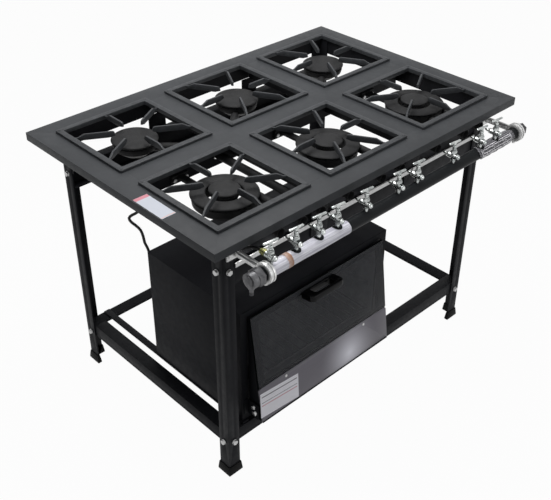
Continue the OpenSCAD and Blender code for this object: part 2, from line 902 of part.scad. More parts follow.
module double_burner(i) {
    cx = col_x[i];
    cy = row_y[0];
    inner_x = valve_x[inner_valves[i]];
    ring_x = valve_x[ring_valves[i]];
    ring_top = plate_top - ring_drop - cap_t - fit;
    inner_top = plate_top - inner_drop - cap_t - fit;
    off = ring_x - cx;
    ring_end = cy - sqrt(ring_r * ring_r - off * off) * 0.5;
    lug_y = -beam_t / 2 - fit;
    difference() {
        union() {
            difference() {
                translate([cx, cy, 0]) rotate_extrude($fn = 64) polygon([
                    [ring_in_r + 5, valve_z - 15], [ring_r - 14, valve_z - 15],
                    [ring_r - 5, valve_z - 5], [ring_r - 3, ring_top - 3],
                    [ring_r - 6, ring_top], [ring_in_r + 4, ring_top]
                ]);
                translate([cx, cy, 0]) rotate_extrude($fn = 64) polygon([
                    [ring_in_r + 9, valve_z - 11], [ring_r - 17, valve_z - 11],
                    [ring_r - 9, valve_z - 2], [ring_r - 9, ring_top + 1],
                    [ring_in_r + 9, ring_top + 1]
                ]);
            }
            difference() {
                translate([cx, cy, 0]) rotate_extrude($fn = 48) polygon([
                    [0, valve_z - 17], [24, valve_z - 17], [inner_r - 10, valve_z],
                    [inner_r - 3, inner_top - 8], [inner_r - 3, inner_top - 3],
                    [inner_r - 6, inner_top], [0, inner_top]
                ]);
                translate([cx, cy, 0]) rotate_extrude($fn = 48) polygon([
                    [0, valve_z - 13], [21, valve_z - 13], [inner_r - 14, valve_z],
                    [inner_r - 9, inner_top - 8], [inner_r - 9, inner_top + 1], [0, inner_top + 1]
                ]);
            }
            // Webs that join the inner bowl to the ring
            for (a = [40, 140, 250]) {
                translate([cx, cy, valve_z - 14.5]) rotate([0, 0, a]) translate([23.8, -5, 0]) {
                    cube([ring_in_r - 17, 10, 7]);
                }
            }
            neck(inner_x, cy - 20);
            neck(ring_x, ring_end);
            // Rear arm and its lug on the cross beam
            block([cx - 10, cx + 10], [cy + ring_r - 12, lug_y - 2], [valve_z - 14, valve_z - 6]);
            block([cx - 27, cx + 27], [lug_y - lug_t, lug_y], [valve_z - 26, valve_z - 3]);
        }
        neck_mouth(inner_x, cy - 19);
        neck_mouth(ring_x, ring_end + 1);
        for (s = [-1, 1]) {
            rod_y(cx + s * lug_bolt, [lug_y - lug_t - 1, lug_y + 1], valve_z - 16, 3.3);
        }
        translate([cx, cy, 0]) {
            flame_ring(inner_r - 5, inner_top, 4);
            flame_ring(ring_r - 6, ring_top, 4);
        }
    }
}

module double_burners() {
    color("#3b3b3c") place() {
        for (i = [0:2]) {
            double_burner(i);
        }
    }
}

module single_cap(i) {
    top = plate_top - single_drop;
    color("#444546") place() translate([col_x[i], row_y[1], 0]) rotate_extrude($fn = 64) polygon([
        [0, top - cap_t], [single_r - 7, top - cap_t], [single_r, top - cap_t + 3],
        [single_r, top - 3], [single_r - 3, top - 1], [single_r * 0.4, top], [0, top]
    ]);
}

module ring_cap(i) {
    top = plate_top - ring_drop;
    color("#444546") place() translate([col_x[i], row_y[0], 0]) rotate_extrude($fn = 64) polygon([
        [ring_in_r, top - cap_t], [ring_r - 6, top - cap_t], [ring_r, top - cap_t + 3],
        [ring_r, top - 4], [ring_r - 4, top - 1.5], [ring_in_r + 4, top], [ring_in_r, top - 2]
    ]);
}

module inner_cap(i) {
    top = plate_top - inner_drop;
    color("#444546") place() translate([col_x[i], row_y[0], 0]) rotate_extrude($fn = 48) polygon([
        [0, top - cap_t], [inner_r - 6, top - cap_t], [inner_r, top - cap_t + 3],
        [inner_r, top - 3], [inner_r - 3, top - 1], [inner_r * 0.4, top], [0, top]
    ]);
}

// Grates

module finger(angle, root) {
    top = finger_rise;
    low = finger_rise - finger_h;
    rotate([0, 0, angle]) translate([0, finger_t / 2, 0]) rotate([90, 0, 0]) {
        linear_extrude(height = finger_t) polygon([
            [finger_tip, low + 5], [finger_tip + 3, top - 2], [finger_tip + 8, top],
            [root - 24, top], [root - 6, grate_rise - 1], [root + 6, grate_rise - 1],
            [root + 6, low + 3], [root - 18, low], [finger_tip + 16, low]
        ]);
    }
}

module grate_solid() {
    half = grate_in / 2;
    difference() {
        union() {
            linear_extrude(height = grate_rise) rounded(grate_w, grate_w, 4);
            translate([0, 0, -lip_depth]) {
                linear_extrude(height = lip_depth + 1) {
                    rounded(grate_in + 2 * lip_t, grate_in + 2 * lip_t, 3);
                }
            }
        }
        translate([0, 0, -lip_depth - 1]) {
            linear_extrude(height = lip_depth + grate_rise + 2) rounded(grate_in, grate_in, 3);
        }
    }
    for (a = [90, 270]) {
        finger(a, half);
    }
    for (a = [30, 150, 210, 330]) {
        finger(a, half / cos(30));
    }
    // Cast pads on the corners
    for (x = [-1, 1]) {
        for (y = [-1, 1]) {
            translate([x * (grate_w - grate_bar) / 2, y * (grate_w - grate_bar) / 2, grate_rise - 1]) {
                cylinder(r1 = 5, r2 = 4, h = 2);
            }
        }
    }
}

module grate(c, r) {
    color("#4a4b4d") place() translate([col_x[c], row_y[r], plate_top + fit / 3]) grate_solid();
}

// Oven

module oven_shell() {
    x = oven_w / 2;
    color("#26272a") place() translate([oven_x, 0, 0]) difference() {
        block([-x, x], [oven_y0 + frame_t, oven_y1], [oven_z0, oven_z1]);
        block(
            [-x + sheet_t, x - sheet_t],
            [oven_y0, oven_y1 - sheet_t],
            [oven_z0 + sheet_t, oven_z1 - sheet_t]
        );
        rod_y(tube_end[0] - oven_x, [oven_y1 - 5, oven_y1 + 5], gas_z, tube_r + 1.5);
        // Louvres in the back
        for (i = [-3:3]) {
            block([i * 40 - 14, i * 40 + 14], [oven_y1 - 5, oven_y1 + 5], [oven_z1 - 40, oven_z1 - 34]);
        }
    }
}

module oven_front_frame() {
    x = oven_w / 2;
    color("#26272a") place() translate([oven_x, 0, 0]) difference() {
        block([-x, x], [oven_y0, oven_y0 + frame_t - fit / 3], [oven_z0, oven_z1]);
        block(
            [-x + jamb_w, x - jamb_w],
            [oven_y0 - 1, oven_y0 + frame_t + 1],
            [oven_z0 + sill_h, oven_z1 - header_h]
        );
    }
}

module oven_liner() {
    x = liner_w / 2;
    y0 = oven_y0 + frame_t;
    color("#55585c") place() translate([oven_x, 0, 0]) {
        difference() {
            union() {
                block([-x, x], [y0, liner_y1], [liner_z0, liner_z1]);
                block([-x - 12, x + 12], [y0, y0 + sheet_t], [liner_z0 - 10, liner_z1 + 12]);
            }
            block(
                [-x + sheet_t, x - sheet_t],
                [y0 - 1, liner_y1 - sheet_t],
                [liner_z0 + sheet_t, liner_z1 - sheet_t]
            );
            block(
                [-x + 14, x - 14],
                [y0 + 14, liner_y1 - 14],
                [liner_z0 - 1, liner_z0 + sheet_t + 1]
            );
        }
        // Pressed runners for the rack
        for (z = runner_z) {
            for (s = [0, 1]) {
                mirror([s, 0, 0]) {
                    block([-x + sheet_t, -x + 11], [y0 + 22, liner_y1 - 10], [z - 2, z]);
                    block([-x + sheet_t, -x + 11], [y0 + 22, liner_y1 - 10], [z + 9, z + 11]);
                }
            }
        }
    }
}

module oven_floor() {
    x = liner_w / 2 - sheet_t - slide;
    y0 = oven_y0 + frame_t + slide;
    y1 = liner_y1 - sheet_t - slide;
    color("#4a4c4f") place() translate([oven_x, 0, 0]) difference() {
        block([-x, x], [y0, y1], [floor_z, floor_z + sheet_t]);
        for (s = [-1, 1]) {
            for (i = [-3:3]) {
                translate([s * (x - 12), (y0 + y1) / 2 + i * 40, floor_z - 1]) {
                    linear_extrude(height = sheet_t + 2) rounded(6, 24, 2.9);
                }
            }
        }
    }
}

module oven_rack() {
    x = liner_w / 2 - sheet_t - 3;
    y = [oven_y0 + frame_t + 26, liner_y1 - 14];
    z = runner_z[rack_level] + 3 + fit;
    bars = 15;
    color("silver") place() translate([oven_x, 0, 0]) {
        for (yy = y) {
            rod_x([-x, x], yy, z, 3);
        }
        for (s = [-1, 1]) {
            rod_y(s * (x - 3), y, z, 3);
        }
        for (i = [1:bars]) {
            rod_y(-x + i * 2 * x / (bars + 1), y, z, 2);
        }
    }
}

module oven_burner() {
    x0 = tube_end[0] - oven_x;
    y1 = oven_y1 - sheet_t - 22;
    y0 = oven_y0 + 40;
    color("dimgray") place() translate([oven_x, 0, 0]) {
        difference() {
            union() {
                rod_y(x0, [y1, oven_y1 - sheet_t - 1], gas_z, 7);
                translate([x0, y1, gas_z]) sphere(r = 7);
                rod_x([x0, 0], y1, gas_z, 7);
                translate([0, y1, gas_z]) sphere(r = 8);
                rod_y(0, [y0, y1], gas_z, 8);
                for (yy = [y0 + 30, y1 - 30]) {
                    block([-14, 14], [yy - 5, yy + 5], [oven_z0 + sheet_t, gas_z - 3]);
                }
            }
            rod_y(x0, [oven_y1 - sheet_t - 14, oven_y1], gas_z, tube_r + 0.3);
            for (i = [0:11]) {
                for (s = [-1, 1]) {
                    translate([0, y0 + 20 + i * 24, gas_z]) rotate([0, s * 50, 0]) {
                        cylinder(r = 1.2, h = 12);
                    }
                }
            }
        }
    }
}

// Gas tube: the route is rounded with a cubic through its points and swept with turning rings.

function curve_point(p, i, t) =
    let (
        a = p[max(i - 1, 0)],
        b = p[i],
        c = p[i + 1],
        d = p[min(i + 2, len(p) - 1)]
    )
    0.5 * ((2 * b) + (c - a) * t + (2 * a - 5 * b + 4 * c - d) * t * t
        + (3 * b - a - 3 * c + d) * t * t * t);

function curve_steps(p, i) = norm(p[i + 1] - p[i]) > 60 ? 4 : norm(p[i + 1] - p[i]) > 24 ? 3 : 2;

function curve(p) = concat(
    [for (i = [0:len(p) - 2]) for (s = [0:curve_steps(p, i) - 1]) curve_point(p, i, s / curve_steps(p, i))],
    [p[len(p) - 1]]
);

function unit(v) = v / norm(v);

function tangent(c, i) = unit(c[min(i + 1, len(c) - 1)] - c[max(i - 1, 0)]);

function flatten_to(v, t) = unit(v - (v * t) * t);

function side_vectors(c, i, last) =
    i == len(c) ? [] :
    let (n = flatten_to(last, tangent(c, i)))
    concat([n], side_vectors(c, i + 1, n));

module sweep(route, r, sides) {
    c = curve(route);
    normals = side_vectors(c, 0, [1, 0, 0]);
    points = [
        for (i = [0:len(c) - 1])
            let (t = tangent(c, i), n = normals[i], b = cross(t, n))
            for (k = [0:sides - 1])
                c[i] + r * (cos(k * 360 / sides) * n + sin(k * 360 / sides) * b)
    ];
    last = (len(c) - 1) * sides;
    walls = [
        for (i = [0:len(c) - 2])
            for (k = [0:sides - 1])
                let (a = i * sides + k, b = i * sides + (k + 1) % sides)
                each [[a, b + sides, b], [a, a + sides, b + sides]]
    ];
    near_cap = [for (k = [0:sides - 1]) k];
    far_cap = [for (k = [sides - 1:-1:0]) last + k];
    polyhedron(points = points, faces = concat(walls, [near_cap, far_cap]));
}

module oven_gas_tube() {
    color("#2a2b2c") place() sweep(tube_route, tube_r, tube_sides);
}

module oven_gas_elbow() {
    top = tube_route[len(tube_route) - 1][2] - fit;
    color("goldenrod") place() {
        translate([tube_end[0], tube_end[1], gas_z - 7]) hex_prism(14, top - gas_z + 7);
        rod_y(tube_end[0], [oven_y1 - sheet_t - 10, tube_end[1]], gas_z, tube_r);
    }
}

// Door, built around its own tilted face: x across, z down from the top edge, -y outwards

module on_door() {
    translate([oven_x, door_back, door_z1]) rotate([-door_tilt, 0, 0]) children();
}

module door_sheet() {
    x = door_w / 2;
    low = door_len - strip_h - 10;
    difference() {
        block([-x, x], [-sheet_t, 0], [-door_len, 0]);
        block([-x + border_w, x - border_w], [-5, 5], [-low, -border_w + 4]);
        for (s = [-1, 1]) {
            rod_y(s * 155, [-5, 5], strip_screw_z, 2.2);
        }
    }
}

// Triangular cheek, in world depth and height
module door_cheek() {
    foot_y = door_back - door_len * sin(door_tilt);
    x = door_w / 2;
    difference() {
        translate([-x, 0, 0]) rotate([90, 0, 90]) linear_extrude(height = sheet_t) polygon([
            [door_back - 0.5, door_z1 - 2], [door_back - 0.5, hinge_z + 4],
            [hinge_y + 15, door_z0 + 2], [foot_y, door_z0 + 2]
        ]);
        rod_x([-x - 1, -x + sheet_t + 1], hinge_y, hinge_z, hinge_r + 0.1);
    }
}

strip_screw_z = -(door_len - strip_h) - 11;

module door_frame() {
    foot_y = door_back - door_len * sin(door_tilt);
    color("#1b1c1e") place() {
        on_door() door_sheet();
        translate([oven_x, 0, 0]) {
            door_cheek();
            mirror([1, 0, 0]) door_cheek();
            block(
                [-door_w / 2, door_w / 2],
                [foot_y + 1, hinge_y + 14],
                [door_z0 + 2, door_z0 + 2 + sheet_t]
            );
        }
    }
}

module door_glass() {
    x = door_w / 2 - 1.5;
    color("#101214") place() on_door() difference() {
        block([-x, x], [-sheet_t - face_gap - glass_t, -sheet_t - face_gap], [-(door_len - strip_h) + 1, -1]);
        for (s = [-1, 1]) {
            rod_y(s * handle_foot_x - handle_shift, [-20, 5], -handle_v, 3.5);
        }
    }
}

module door_strip() {
    r = strip_top_r;
    color("silver") place() on_door() difference() {
        translate([0, -sheet_t - face_gap, -door_len]) rotate([90, 0, 0]) {
            linear_extrude(height = glass_t) union() {
                translate([0, strip_h / 2]) rounded(door_w, strip_h, r);
                translate([-door_w / 2, 0]) square([door_w, strip_h / 2]);
            }
        }
        // Hollow behind the folded face
        translate([0, -sheet_t - face_gap + 1, -door_len + strip_t]) rotate([90, 0, 0]) {
            linear_extrude(height = glass_t - strip_t + 1) {
                translate([0, strip_h / 2 - strip_t]) {
                    rounded(door_w - 2 * strip_t, strip_h - 2 * strip_t, r - strip_t);
                }
            }
        }
        for (s = [-1, 1]) {
            rod_y(s * strip_screw_x, [-glass_t * 4, glass_t], strip_screw_z, strip_screw_r + 0.2);
        }
    }
}

handle_foot_x = handle_w / 2 - handle_bar / 2;

module door_handle() {
    face = -sheet_t - face_gap - glass_t - 0.1;
    color("#0c0c0d") place() on_door() translate([-handle_shift, face, -handle_v - handle_h / 2]) {
        linear_extrude(height = handle_h) difference() {
            translate([0, -handle_out / 2]) union() {
                rounded(handle_w, handle_out, 14);
                translate([-handle_w / 2, 0]) square([handle_w, handle_out / 2]);
            }
            translate([0, -handle_out / 2 + handle_bar / 2]) {
                rounded(handle_w - 2 * handle_bar, handle_out - handle_bar + 0.01, 7);
            }
            translate([-handle_w / 2 + handle_bar, -6]) square([handle_w - 2 * handle_bar, 7]);
        }
    }
}

module door_screws() {
    face = -sheet_t - face_gap - glass_t;
    color("silver") place() on_door() {
        for (s = [-1, 1]) {
            translate([s * strip_screw_x, face - 1.8, strip_screw_z]) rotate([-90, 0, 0]) {
                cylinder(r1 = strip_screw_r + 0.5, r2 = strip_screw_r * 2.1, h = 1.7);
                cylinder(r = strip_screw_r, h = glass_t + 6);
            }
            translate([s * handle_foot_x - handle_shift, face, -handle_v]) rotate([-90, 0, 0]) {
                cylinder(r = 3, h = glass_t + face_gap - 0.1);
            }
        }
    }
}

module hinge_side() {
    cheek_x = -door_w / 2;
    ear_x = cheek_x - ear_gap;
    ear_z = [hinge_z - ear_below, hinge_z + ear_above];
    difference() {
        union() {
            block([ear_x - ear_t, ear_x], [hinge_y - ear_front, oven_y0 - 0.1], ear_z);
            block([ear_x - ear_foot, ear_x], [oven_y0 - ear_t, oven_y0 - 0.1], ear_z);
        }
        rod_x([ear_x - ear_t - 3, ear_x + 1], hinge_y, hinge_z, hinge_r);
        rod_x([ear_x - ear_t - 3, ear_x + 1], hinge_y + stop_y, hinge_z + stop_z, hinge_r - 1);
    }
    // Pin with its head outside, spacer and inner nut
    rod_x([ear_x - ear_t - 1, cheek_x + sheet_t + 3], hinge_y, hinge_z, hinge_r);
    translate([ear_x - ear_t - 6, hinge_y, hinge_z]) rotate([0, 90, 0]) hex_prism(hinge_r * 3, 6);
    rod_x([ear_x, cheek_x - fit], hinge_y, hinge_z, hinge_r + 3);
    translate([cheek_x + sheet_t + fit, hinge_y, hinge_z]) rotate([0, 90, 0]) hex_prism(hinge_r * 2.75, 4);
    // Bolt of the stop
    translate([0, hinge_y + stop_y, hinge_z + stop_z]) {
        rod_x([ear_x - ear_t - 4, ear_x], 0, 0, hinge_r - 1);
        translate([ear_x - ear_t - 5, 0, 0]) rotate([0, 90, 0]) hex_prism(hinge_r * 2.5, 5);
    }
}

module hinge_brackets() {
    color("darkgray") place() translate([oven_x, 0, 0]) {
        hinge_side();
        mirror([1, 0, 0]) hinge_side();
    }
}

top_plate();
plate_ribs();
leg_front_left();
leg_front_right();
leg_rear_left();
leg_rear_right();
leg_shoes();
upper_rails();
lower_rails();
oven_bearers();
burner_beam();
front_tie_bar();
frame_bolts();
manifold_pipe();
manifold_brackets();
inlet_elbow();
end_plug();
valve_bodies();
valve_injectors();
single_burners();
double_burners();
oven_shell();
oven_liner();
oven_front_frame();
oven_floor();
oven_rack();
oven_burner();
oven_gas_tube();
oven_gas_elbow();
hinge_brackets();
door_frame();
door_glass();
door_strip();
door_handle();
door_screws();
valve_handle(0);  // valve_handle_1
valve_handle(1);  // valve_handle_2
valve_handle(2);  // valve_handle_3
valve_handle(3);  // valve_handle_4
valve_handle(4);  // valve_handle_5
valve_handle(5);  // valve_handle_6
valve_handle(6);  // valve_handle_7
valve_handle(7);  // valve_handle_8
valve_handle(8);  // valve_handle_9
valve_handle(9);  // valve_handle_10
single_cap(0);  // single_cap_left
single_cap(1);  // single_cap_middle
single_cap(2);  // single_cap_right
ring_cap(0);  // ring_cap_left
ring_cap(1);  // ring_cap_middle
ring_cap(2);  // ring_cap_right
inner_cap(0);  // inner_cap_left
inner_cap(1);  // inner_cap_middle
inner_cap(2);  // inner_cap_right
grate(0, 0);  // grate_front_left
grate(1, 0);  // grate_front_middle
grate(2, 0);  // grate_front_right
grate(0, 1);  // grate_rear_left
grate(1, 1);  // grate_rear_middle
grate(2, 1);  // grate_rear_right
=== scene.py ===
# Looks of the six-burner stove: camera, studio, materials and the detailed pieces around the CAD frame.
import json
import math

import bmesh
import bpy
from mathutils import Matrix, Vector


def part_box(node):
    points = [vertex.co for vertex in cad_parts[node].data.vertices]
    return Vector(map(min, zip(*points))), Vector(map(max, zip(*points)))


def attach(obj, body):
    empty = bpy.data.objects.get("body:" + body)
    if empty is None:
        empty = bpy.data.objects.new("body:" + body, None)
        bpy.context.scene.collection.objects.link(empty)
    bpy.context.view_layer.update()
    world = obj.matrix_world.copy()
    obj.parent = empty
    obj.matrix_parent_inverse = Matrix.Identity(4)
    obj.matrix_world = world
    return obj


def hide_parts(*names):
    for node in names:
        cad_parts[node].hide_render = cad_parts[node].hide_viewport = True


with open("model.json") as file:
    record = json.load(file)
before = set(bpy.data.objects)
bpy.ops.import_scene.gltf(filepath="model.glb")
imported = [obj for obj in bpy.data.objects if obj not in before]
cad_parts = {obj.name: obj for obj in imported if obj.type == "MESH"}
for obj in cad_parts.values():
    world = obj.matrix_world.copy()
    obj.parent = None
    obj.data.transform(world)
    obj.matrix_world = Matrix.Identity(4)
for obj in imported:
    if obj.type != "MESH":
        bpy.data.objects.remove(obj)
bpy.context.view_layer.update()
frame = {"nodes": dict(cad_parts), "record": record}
nodes = frame["nodes"]
scene = bpy.context.scene
scene.view_settings.view_transform = "Standard"

# Main places in metres, as in the part's source
SHIFT_Y = 0.037
PLATE_TOP = 0.805
PIPE_Y = -0.438 + SHIFT_Y
PIPE_Z = 0.7285
VALVE_X = (-0.451, -0.371, -0.296, -0.232, -0.130, -0.007, 0.069, 0.221, 0.344, 0.414)
STEM_TOP = 0.790
OVEN_X = -0.168
DOOR_BACK = -0.3245 + SHIFT_Y
DOOR_TOP = 0.503
DOOR_TILT = math.radians(7.9)
DOOR_W = 0.508
DOOR_LENGTH = 0.3341
DOOR_FACE = -0.0068
HINGE = Vector((OVEN_X, -0.317, 0.198))
STOP_BOLT = HINGE + Vector((0.0, 0.005, 0.017))
BOLT_REACH = 0.0085
EAR_IN = DOOR_W / 2 + 0.004
EAR_OUT = EAR_IN + 0.002
EAR_MARGIN = 0.0003

# Camera fitted to the photograph
CAMERA_PLACE = Vector((-1.5518, -1.6014 + SHIFT_Y, 1.9077))
CAMERA_AZIMUTH = math.radians(43.956)
CAMERA_ELEVATION = math.radians(34.046)
CAMERA_ROLL = math.radians(0.2675)
SENSOR_MM = 36.0
LENS_MM = 57.58
LENS_SHIFT = (-0.0037, -0.0291)


def make_camera():
    look = Vector((
        math.sin(CAMERA_AZIMUTH) * math.cos(CAMERA_ELEVATION),
        math.cos(CAMERA_AZIMUTH) * math.cos(CAMERA_ELEVATION),
        -math.sin(CAMERA_ELEVATION),
    ))
    side = Vector((math.cos(CAMERA_AZIMUTH), -math.sin(CAMERA_AZIMUTH), 0.0))
    up = side.cross(look)
    side_rolled = side * math.cos(CAMERA_ROLL) + up * math.sin(CAMERA_ROLL)
    up_rolled = up * math.cos(CAMERA_ROLL) - side * math.sin(CAMERA_ROLL)
    data = bpy.data.cameras.new("camera")
    data.sensor_width = SENSOR_MM
    data.lens = LENS_MM
    data.shift_x = LENS_SHIFT[0]
    data.shift_y = LENS_SHIFT[1]
    data.clip_end = 60.0
    cam = bpy.data.objects.new("camera", data)
    place = Matrix((side_rolled, up_rolled, -look)).transposed().to_4x4()
    place.translation = CAMERA_PLACE
    cam.matrix_world = place
    scene.collection.objects.link(cam)
    scene.camera = cam


# Places and directions that materials use: the brass union lies left of UNION_END, the strip has a painted
# highlight round the first spot below, and the loops of the bag run LOOP_DROP below the pipe's front upper
# line
UNION_END = -0.43
PAINTED_HIGHLIGHT_SPOT = (-0.076, -0.337, 0.208)
PAINTED_HIGHLIGHT_REACH = 0.125
BRUSH_LINES = (6.0, 400.0, 400.0)
LOOP_SPAN = (0.345, 0.468)
LOOP_PITCH = 0.0055
LOOP_DROP = 0.0085
LOOP_REACH = 0.010


# Node helpers for the materials. Noise scales are in waves per metre.

def new_material(name):
    mat = bpy.data.materials.new(name)
    mat.use_nodes = True
    tree = mat.node_tree
    shader = tree.nodes["Principled BSDF"]
    return mat, tree, shader


def coords(tree, scale=(1.0, 1.0, 1.0)):
    tex = tree.nodes.new("ShaderNodeTexCoord")
    mapping = tree.nodes.new("ShaderNodeMapping")
    mapping.inputs["Scale"].default_value = scale
    tree.links.new(tex.outputs["Object"], mapping.inputs["Vector"])
    return mapping.outputs["Vector"]


def noise(tree, vector, scale, detail=4.0, rough=0.55):
    node = tree.nodes.new("ShaderNodeTexNoise")
    node.inputs["Scale"].default_value = scale
    node.inputs["Detail"].default_value = detail
    node.inputs["Roughness"].default_value = rough
    tree.links.new(vector, node.inputs["Vector"])
    return node.outputs["Fac"]


def remap(tree, value, low, high, from_low=0.3, from_high=0.7):
    node = tree.nodes.new("ShaderNodeMapRange")
    node.inputs["From Min"].default_value = from_low
    node.inputs["From Max"].default_value = from_high
    node.inputs["To Min"].default_value = low
    node.inputs["To Max"].default_value = high
    tree.links.new(value, node.inputs["Value"])
    return node.outputs["Result"]


def mix_colour(tree, factor, first, second, blend="MIX"):
    """Mixes two colours. Each, and the factor, is a plain value or a node's output."""
    node = tree.nodes.new("ShaderNodeMix")
    node.data_type = "RGBA"
    node.blend_type = blend
    for name, value in (("Factor", factor), ("A", first), ("B", second)):
        if isinstance(value, tuple):
            node.inputs[name].default_value = (*value, 1.0)
        elif isinstance(value, float):
            node.inputs[name].default_value = value
        else:
            tree.links.new(value, node.inputs[name])
    return node.outputs["Result"]


def calc(tree, operation, first, second=0.0):
    """One step of arithmetic on plain numbers or nodes' outputs."""
    node = tree.nodes.new("ShaderNodeMath")
    node.operation = operation
    for socket, value in zip(node.inputs, (first, second)):
        if isinstance(value, float):
            socket.default_value = value
        else:
            tree.links.new(value, socket)
    return node.outputs[0]


def split_xyz(tree, vector):
    node = tree.nodes.new("ShaderNodeSeparateXYZ")
    tree.links.new(vector, node.inputs["Vector"])
    return node.outputs


def bump(tree, shader, height, strength, distance):
    node = tree.nodes.new("ShaderNodeBump")
    node.inputs["Strength"].default_value = strength
    node.inputs["Distance"].default_value = distance
    tree.links.new(height, node.inputs["Height"])
    tree.links.new(node.outputs["Normal"], shader.inputs["Normal"])


def shade(colour, factor):
    return tuple(min(1.0, c * factor) for c in colour)


def paint(name, colour, rough=0.45, gloss=0.2, grain=0.25, spread=0.12):
    mat, tree, shader = new_material(name)
    vector = coords(tree)
    blotches = noise(tree, vector, 9.0, 3.0)
    fine = noise(tree, vector, 900.0, 2.0)
    factor = remap(tree, blotches, 0.0, 1.0)
    result = mix_colour(tree, factor, shade(colour, 1.0 - spread), shade(colour, 1.0 + spread))
    tree.links.new(result, shader.inputs["Base Color"])
    roughness = remap(tree, noise(tree, vector, 60.0), rough - 0.05, rough + 0.06)
    tree.links.new(roughness, shader.inputs["Roughness"])
    shader.inputs["Specular IOR Level"].default_value = gloss
    bump(tree, shader, fine, grain, 0.0003)
    return mat


def cast_iron(name, colour, rough=0.55, gloss=0.2, lump=0.5):
    mat, tree, shader = new_material(name)
    vector = coords(tree)
    coarse = noise(tree, vector, 60.0, 5.0, 0.65)
    fine = noise(tree, vector, 700.0, 4.0, 0.7)
    result = mix_colour(tree, remap(tree, coarse, 0.0, 1.0), shade(colour, 0.75), shade(colour, 1.25))
    tree.links.new(result, shader.inputs["Base Color"])
    tree.links.new(remap(tree, fine, rough - 0.1, rough + 0.12), shader.inputs["Roughness"])
    shader.inputs["Specular IOR Level"].default_value = gloss
    bump(tree, shader, fine, lump, 0.0006)
    return mat


def painted_crevice_shade(tree, colour, reach, floor=0.25):
    """The colour with painted shade: darker in corners and gaps up to reach metres wide."""
    shadow = tree.nodes.new("ShaderNodeAmbientOcclusion")
    shadow.inputs["Distance"].default_value = reach
    level = remap(tree, shadow.outputs["AO"], floor, 1.0, 0.35, 0.95)
    return mix_colour(tree, 1.0, colour, level, "MULTIPLY")


def plated(name, colour, rough=0.3, tint_or_reflection=None, crevice_shade=0.0, lump=0.12, metallic=1.0):
    """Plated or cast metal, clouded with a second tint; where that tint is far darker than the colour, as
    on the valves, the clouds are partly painted reflections. The reach that follows the tint, when given,
    darkens its corners and gaps with painted shade.
    """
    mat, tree, shader = new_material(name)
    vector = coords(tree)
    cloud = noise(tree, vector, 70.0, 4.0, 0.6)
    second = tint_or_reflection or shade(colour, 0.82)
    result = mix_colour(tree, remap(tree, cloud, 0.0, 1.0, 0.38, 0.66), colour, second)
    # corners and gaps darkened with painted shade
    if crevice_shade:
        result = painted_crevice_shade(tree, result, crevice_shade)
    tree.links.new(result, shader.inputs["Base Color"])
    roughness = remap(tree, noise(tree, vector, 220.0), rough - 0.08, rough + 0.1)
    tree.links.new(roughness, shader.inputs["Roughness"])
    shader.inputs["Metallic"].default_value = metallic
    bump(tree, shader, noise(tree, vector, 500.0), lump, 0.0003)
    return mat


def fittings(name, silver, silver_dark, brass, brass_dark):
    """Plated injectors, and the brass union of the oven's valve at the left end, with painted shade in
    their corners and gaps.
    """
    mat, tree, shader = new_material(name)
    vector = coords(tree)
    along = split_xyz(tree, vector)["X"]
    left_end = remap(tree, along, 1.0, 0.0, UNION_END - 0.001, UNION_END)
    cloud = remap(tree, noise(tree, vector, 90.0), 0.0, 1.0)
    plating = mix_colour(tree, cloud, silver, silver_dark)
    union = mix_colour(tree, cloud, brass, brass_dark)
    # painted shade darkens the corners and gaps
    result = painted_crevice_shade(tree, mix_colour(tree, left_end, plating, union), 0.005)
    tree.links.new(result, shader.inputs["Base Color"])
    tree.links.new(remap(tree, noise(tree, vector, 220.0), 0.2, 0.4), shader.inputs["Roughness"])
    shader.inputs["Metallic"].default_value = 1.0
    bump(tree, shader, noise(tree, vector, 500.0), 0.15, 0.0003)
    return mat


def brushed(name, colour, highlight_colour, rough):
    """Brushed sheet, with a painted highlight that makes it paler round one spot."""
    mat, tree, shader = new_material(name)
    lines = noise(tree, coords(tree, BRUSH_LINES), 4.0, 6.0, 0.7)
    sheet = mix_colour(tree, remap(tree, lines, 0.0, 1.0), shade(colour, 0.88), shade(colour, 1.1))
    away = tree.nodes.new("ShaderNodeVectorMath")
    away.operation = "DISTANCE"
    away.inputs[1].default_value = PAINTED_HIGHLIGHT_SPOT
    tree.links.new(coords(tree), away.inputs[0])
    near = remap(tree, away.outputs["Value"], 1.0, 0.0, 0.0, PAINTED_HIGHLIGHT_REACH)
    result = mix_colour(tree, calc(tree, "POWER", near, 1.8), sheet, highlight_colour)
    tree.links.new(result, shader.inputs["Base Color"])
    tree.links.new(remap(tree, lines, rough - 0.06, rough + 0.1), shader.inputs["Roughness"])
    shader.inputs["Metallic"].default_value = 1.0
    bump(tree, shader, lines, 0.1, 0.0002)
    return mat


def tinted_glass(name, colour):
    mat, tree, shader = new_material(name)
    smear = noise(tree, coords(tree), 18.0, 3.0)
    shader.inputs["Base Color"].default_value = (*colour, 1.0)
    tree.links.new(remap(tree, smear, 0.03, 0.07), shader.inputs["Roughness"])
    tree.links.new(remap(tree, smear, 0.42, 0.54), shader.inputs["Alpha"])
    shader.inputs["Specular IOR Level"].default_value = 0.05
    return mat


def liner(name, colour, rim_colour):
    """Pale enamel inside, with the flange behind the mouth painted like the oven's front."""
    mat, tree, shader = new_material(name)
    vector = coords(tree)
    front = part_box("oven_liner")[0][1]
    depth = split_xyz(tree, vector)["Y"]
    rim = remap(tree, depth, 1.0, 0.0, front + 0.004, front + 0.006)
    specks = remap(tree, noise(tree, vector, 240.0, 3.0), 0.0, 1.0)
    inner = mix_colour(tree, specks, shade(colour, 0.85), colour)
    tree.links.new(mix_colour(tree, rim, inner, rim_colour), shader.inputs["Base Color"])
    tree.links.new(remap(tree, noise(tree, vector, 60.0), 0.3, 0.42), shader.inputs["Roughness"])
    shader.inputs["Specular IOR Level"].default_value = 0.1
    bump(tree, shader, specks, 0.1, 0.0003)
    return mat


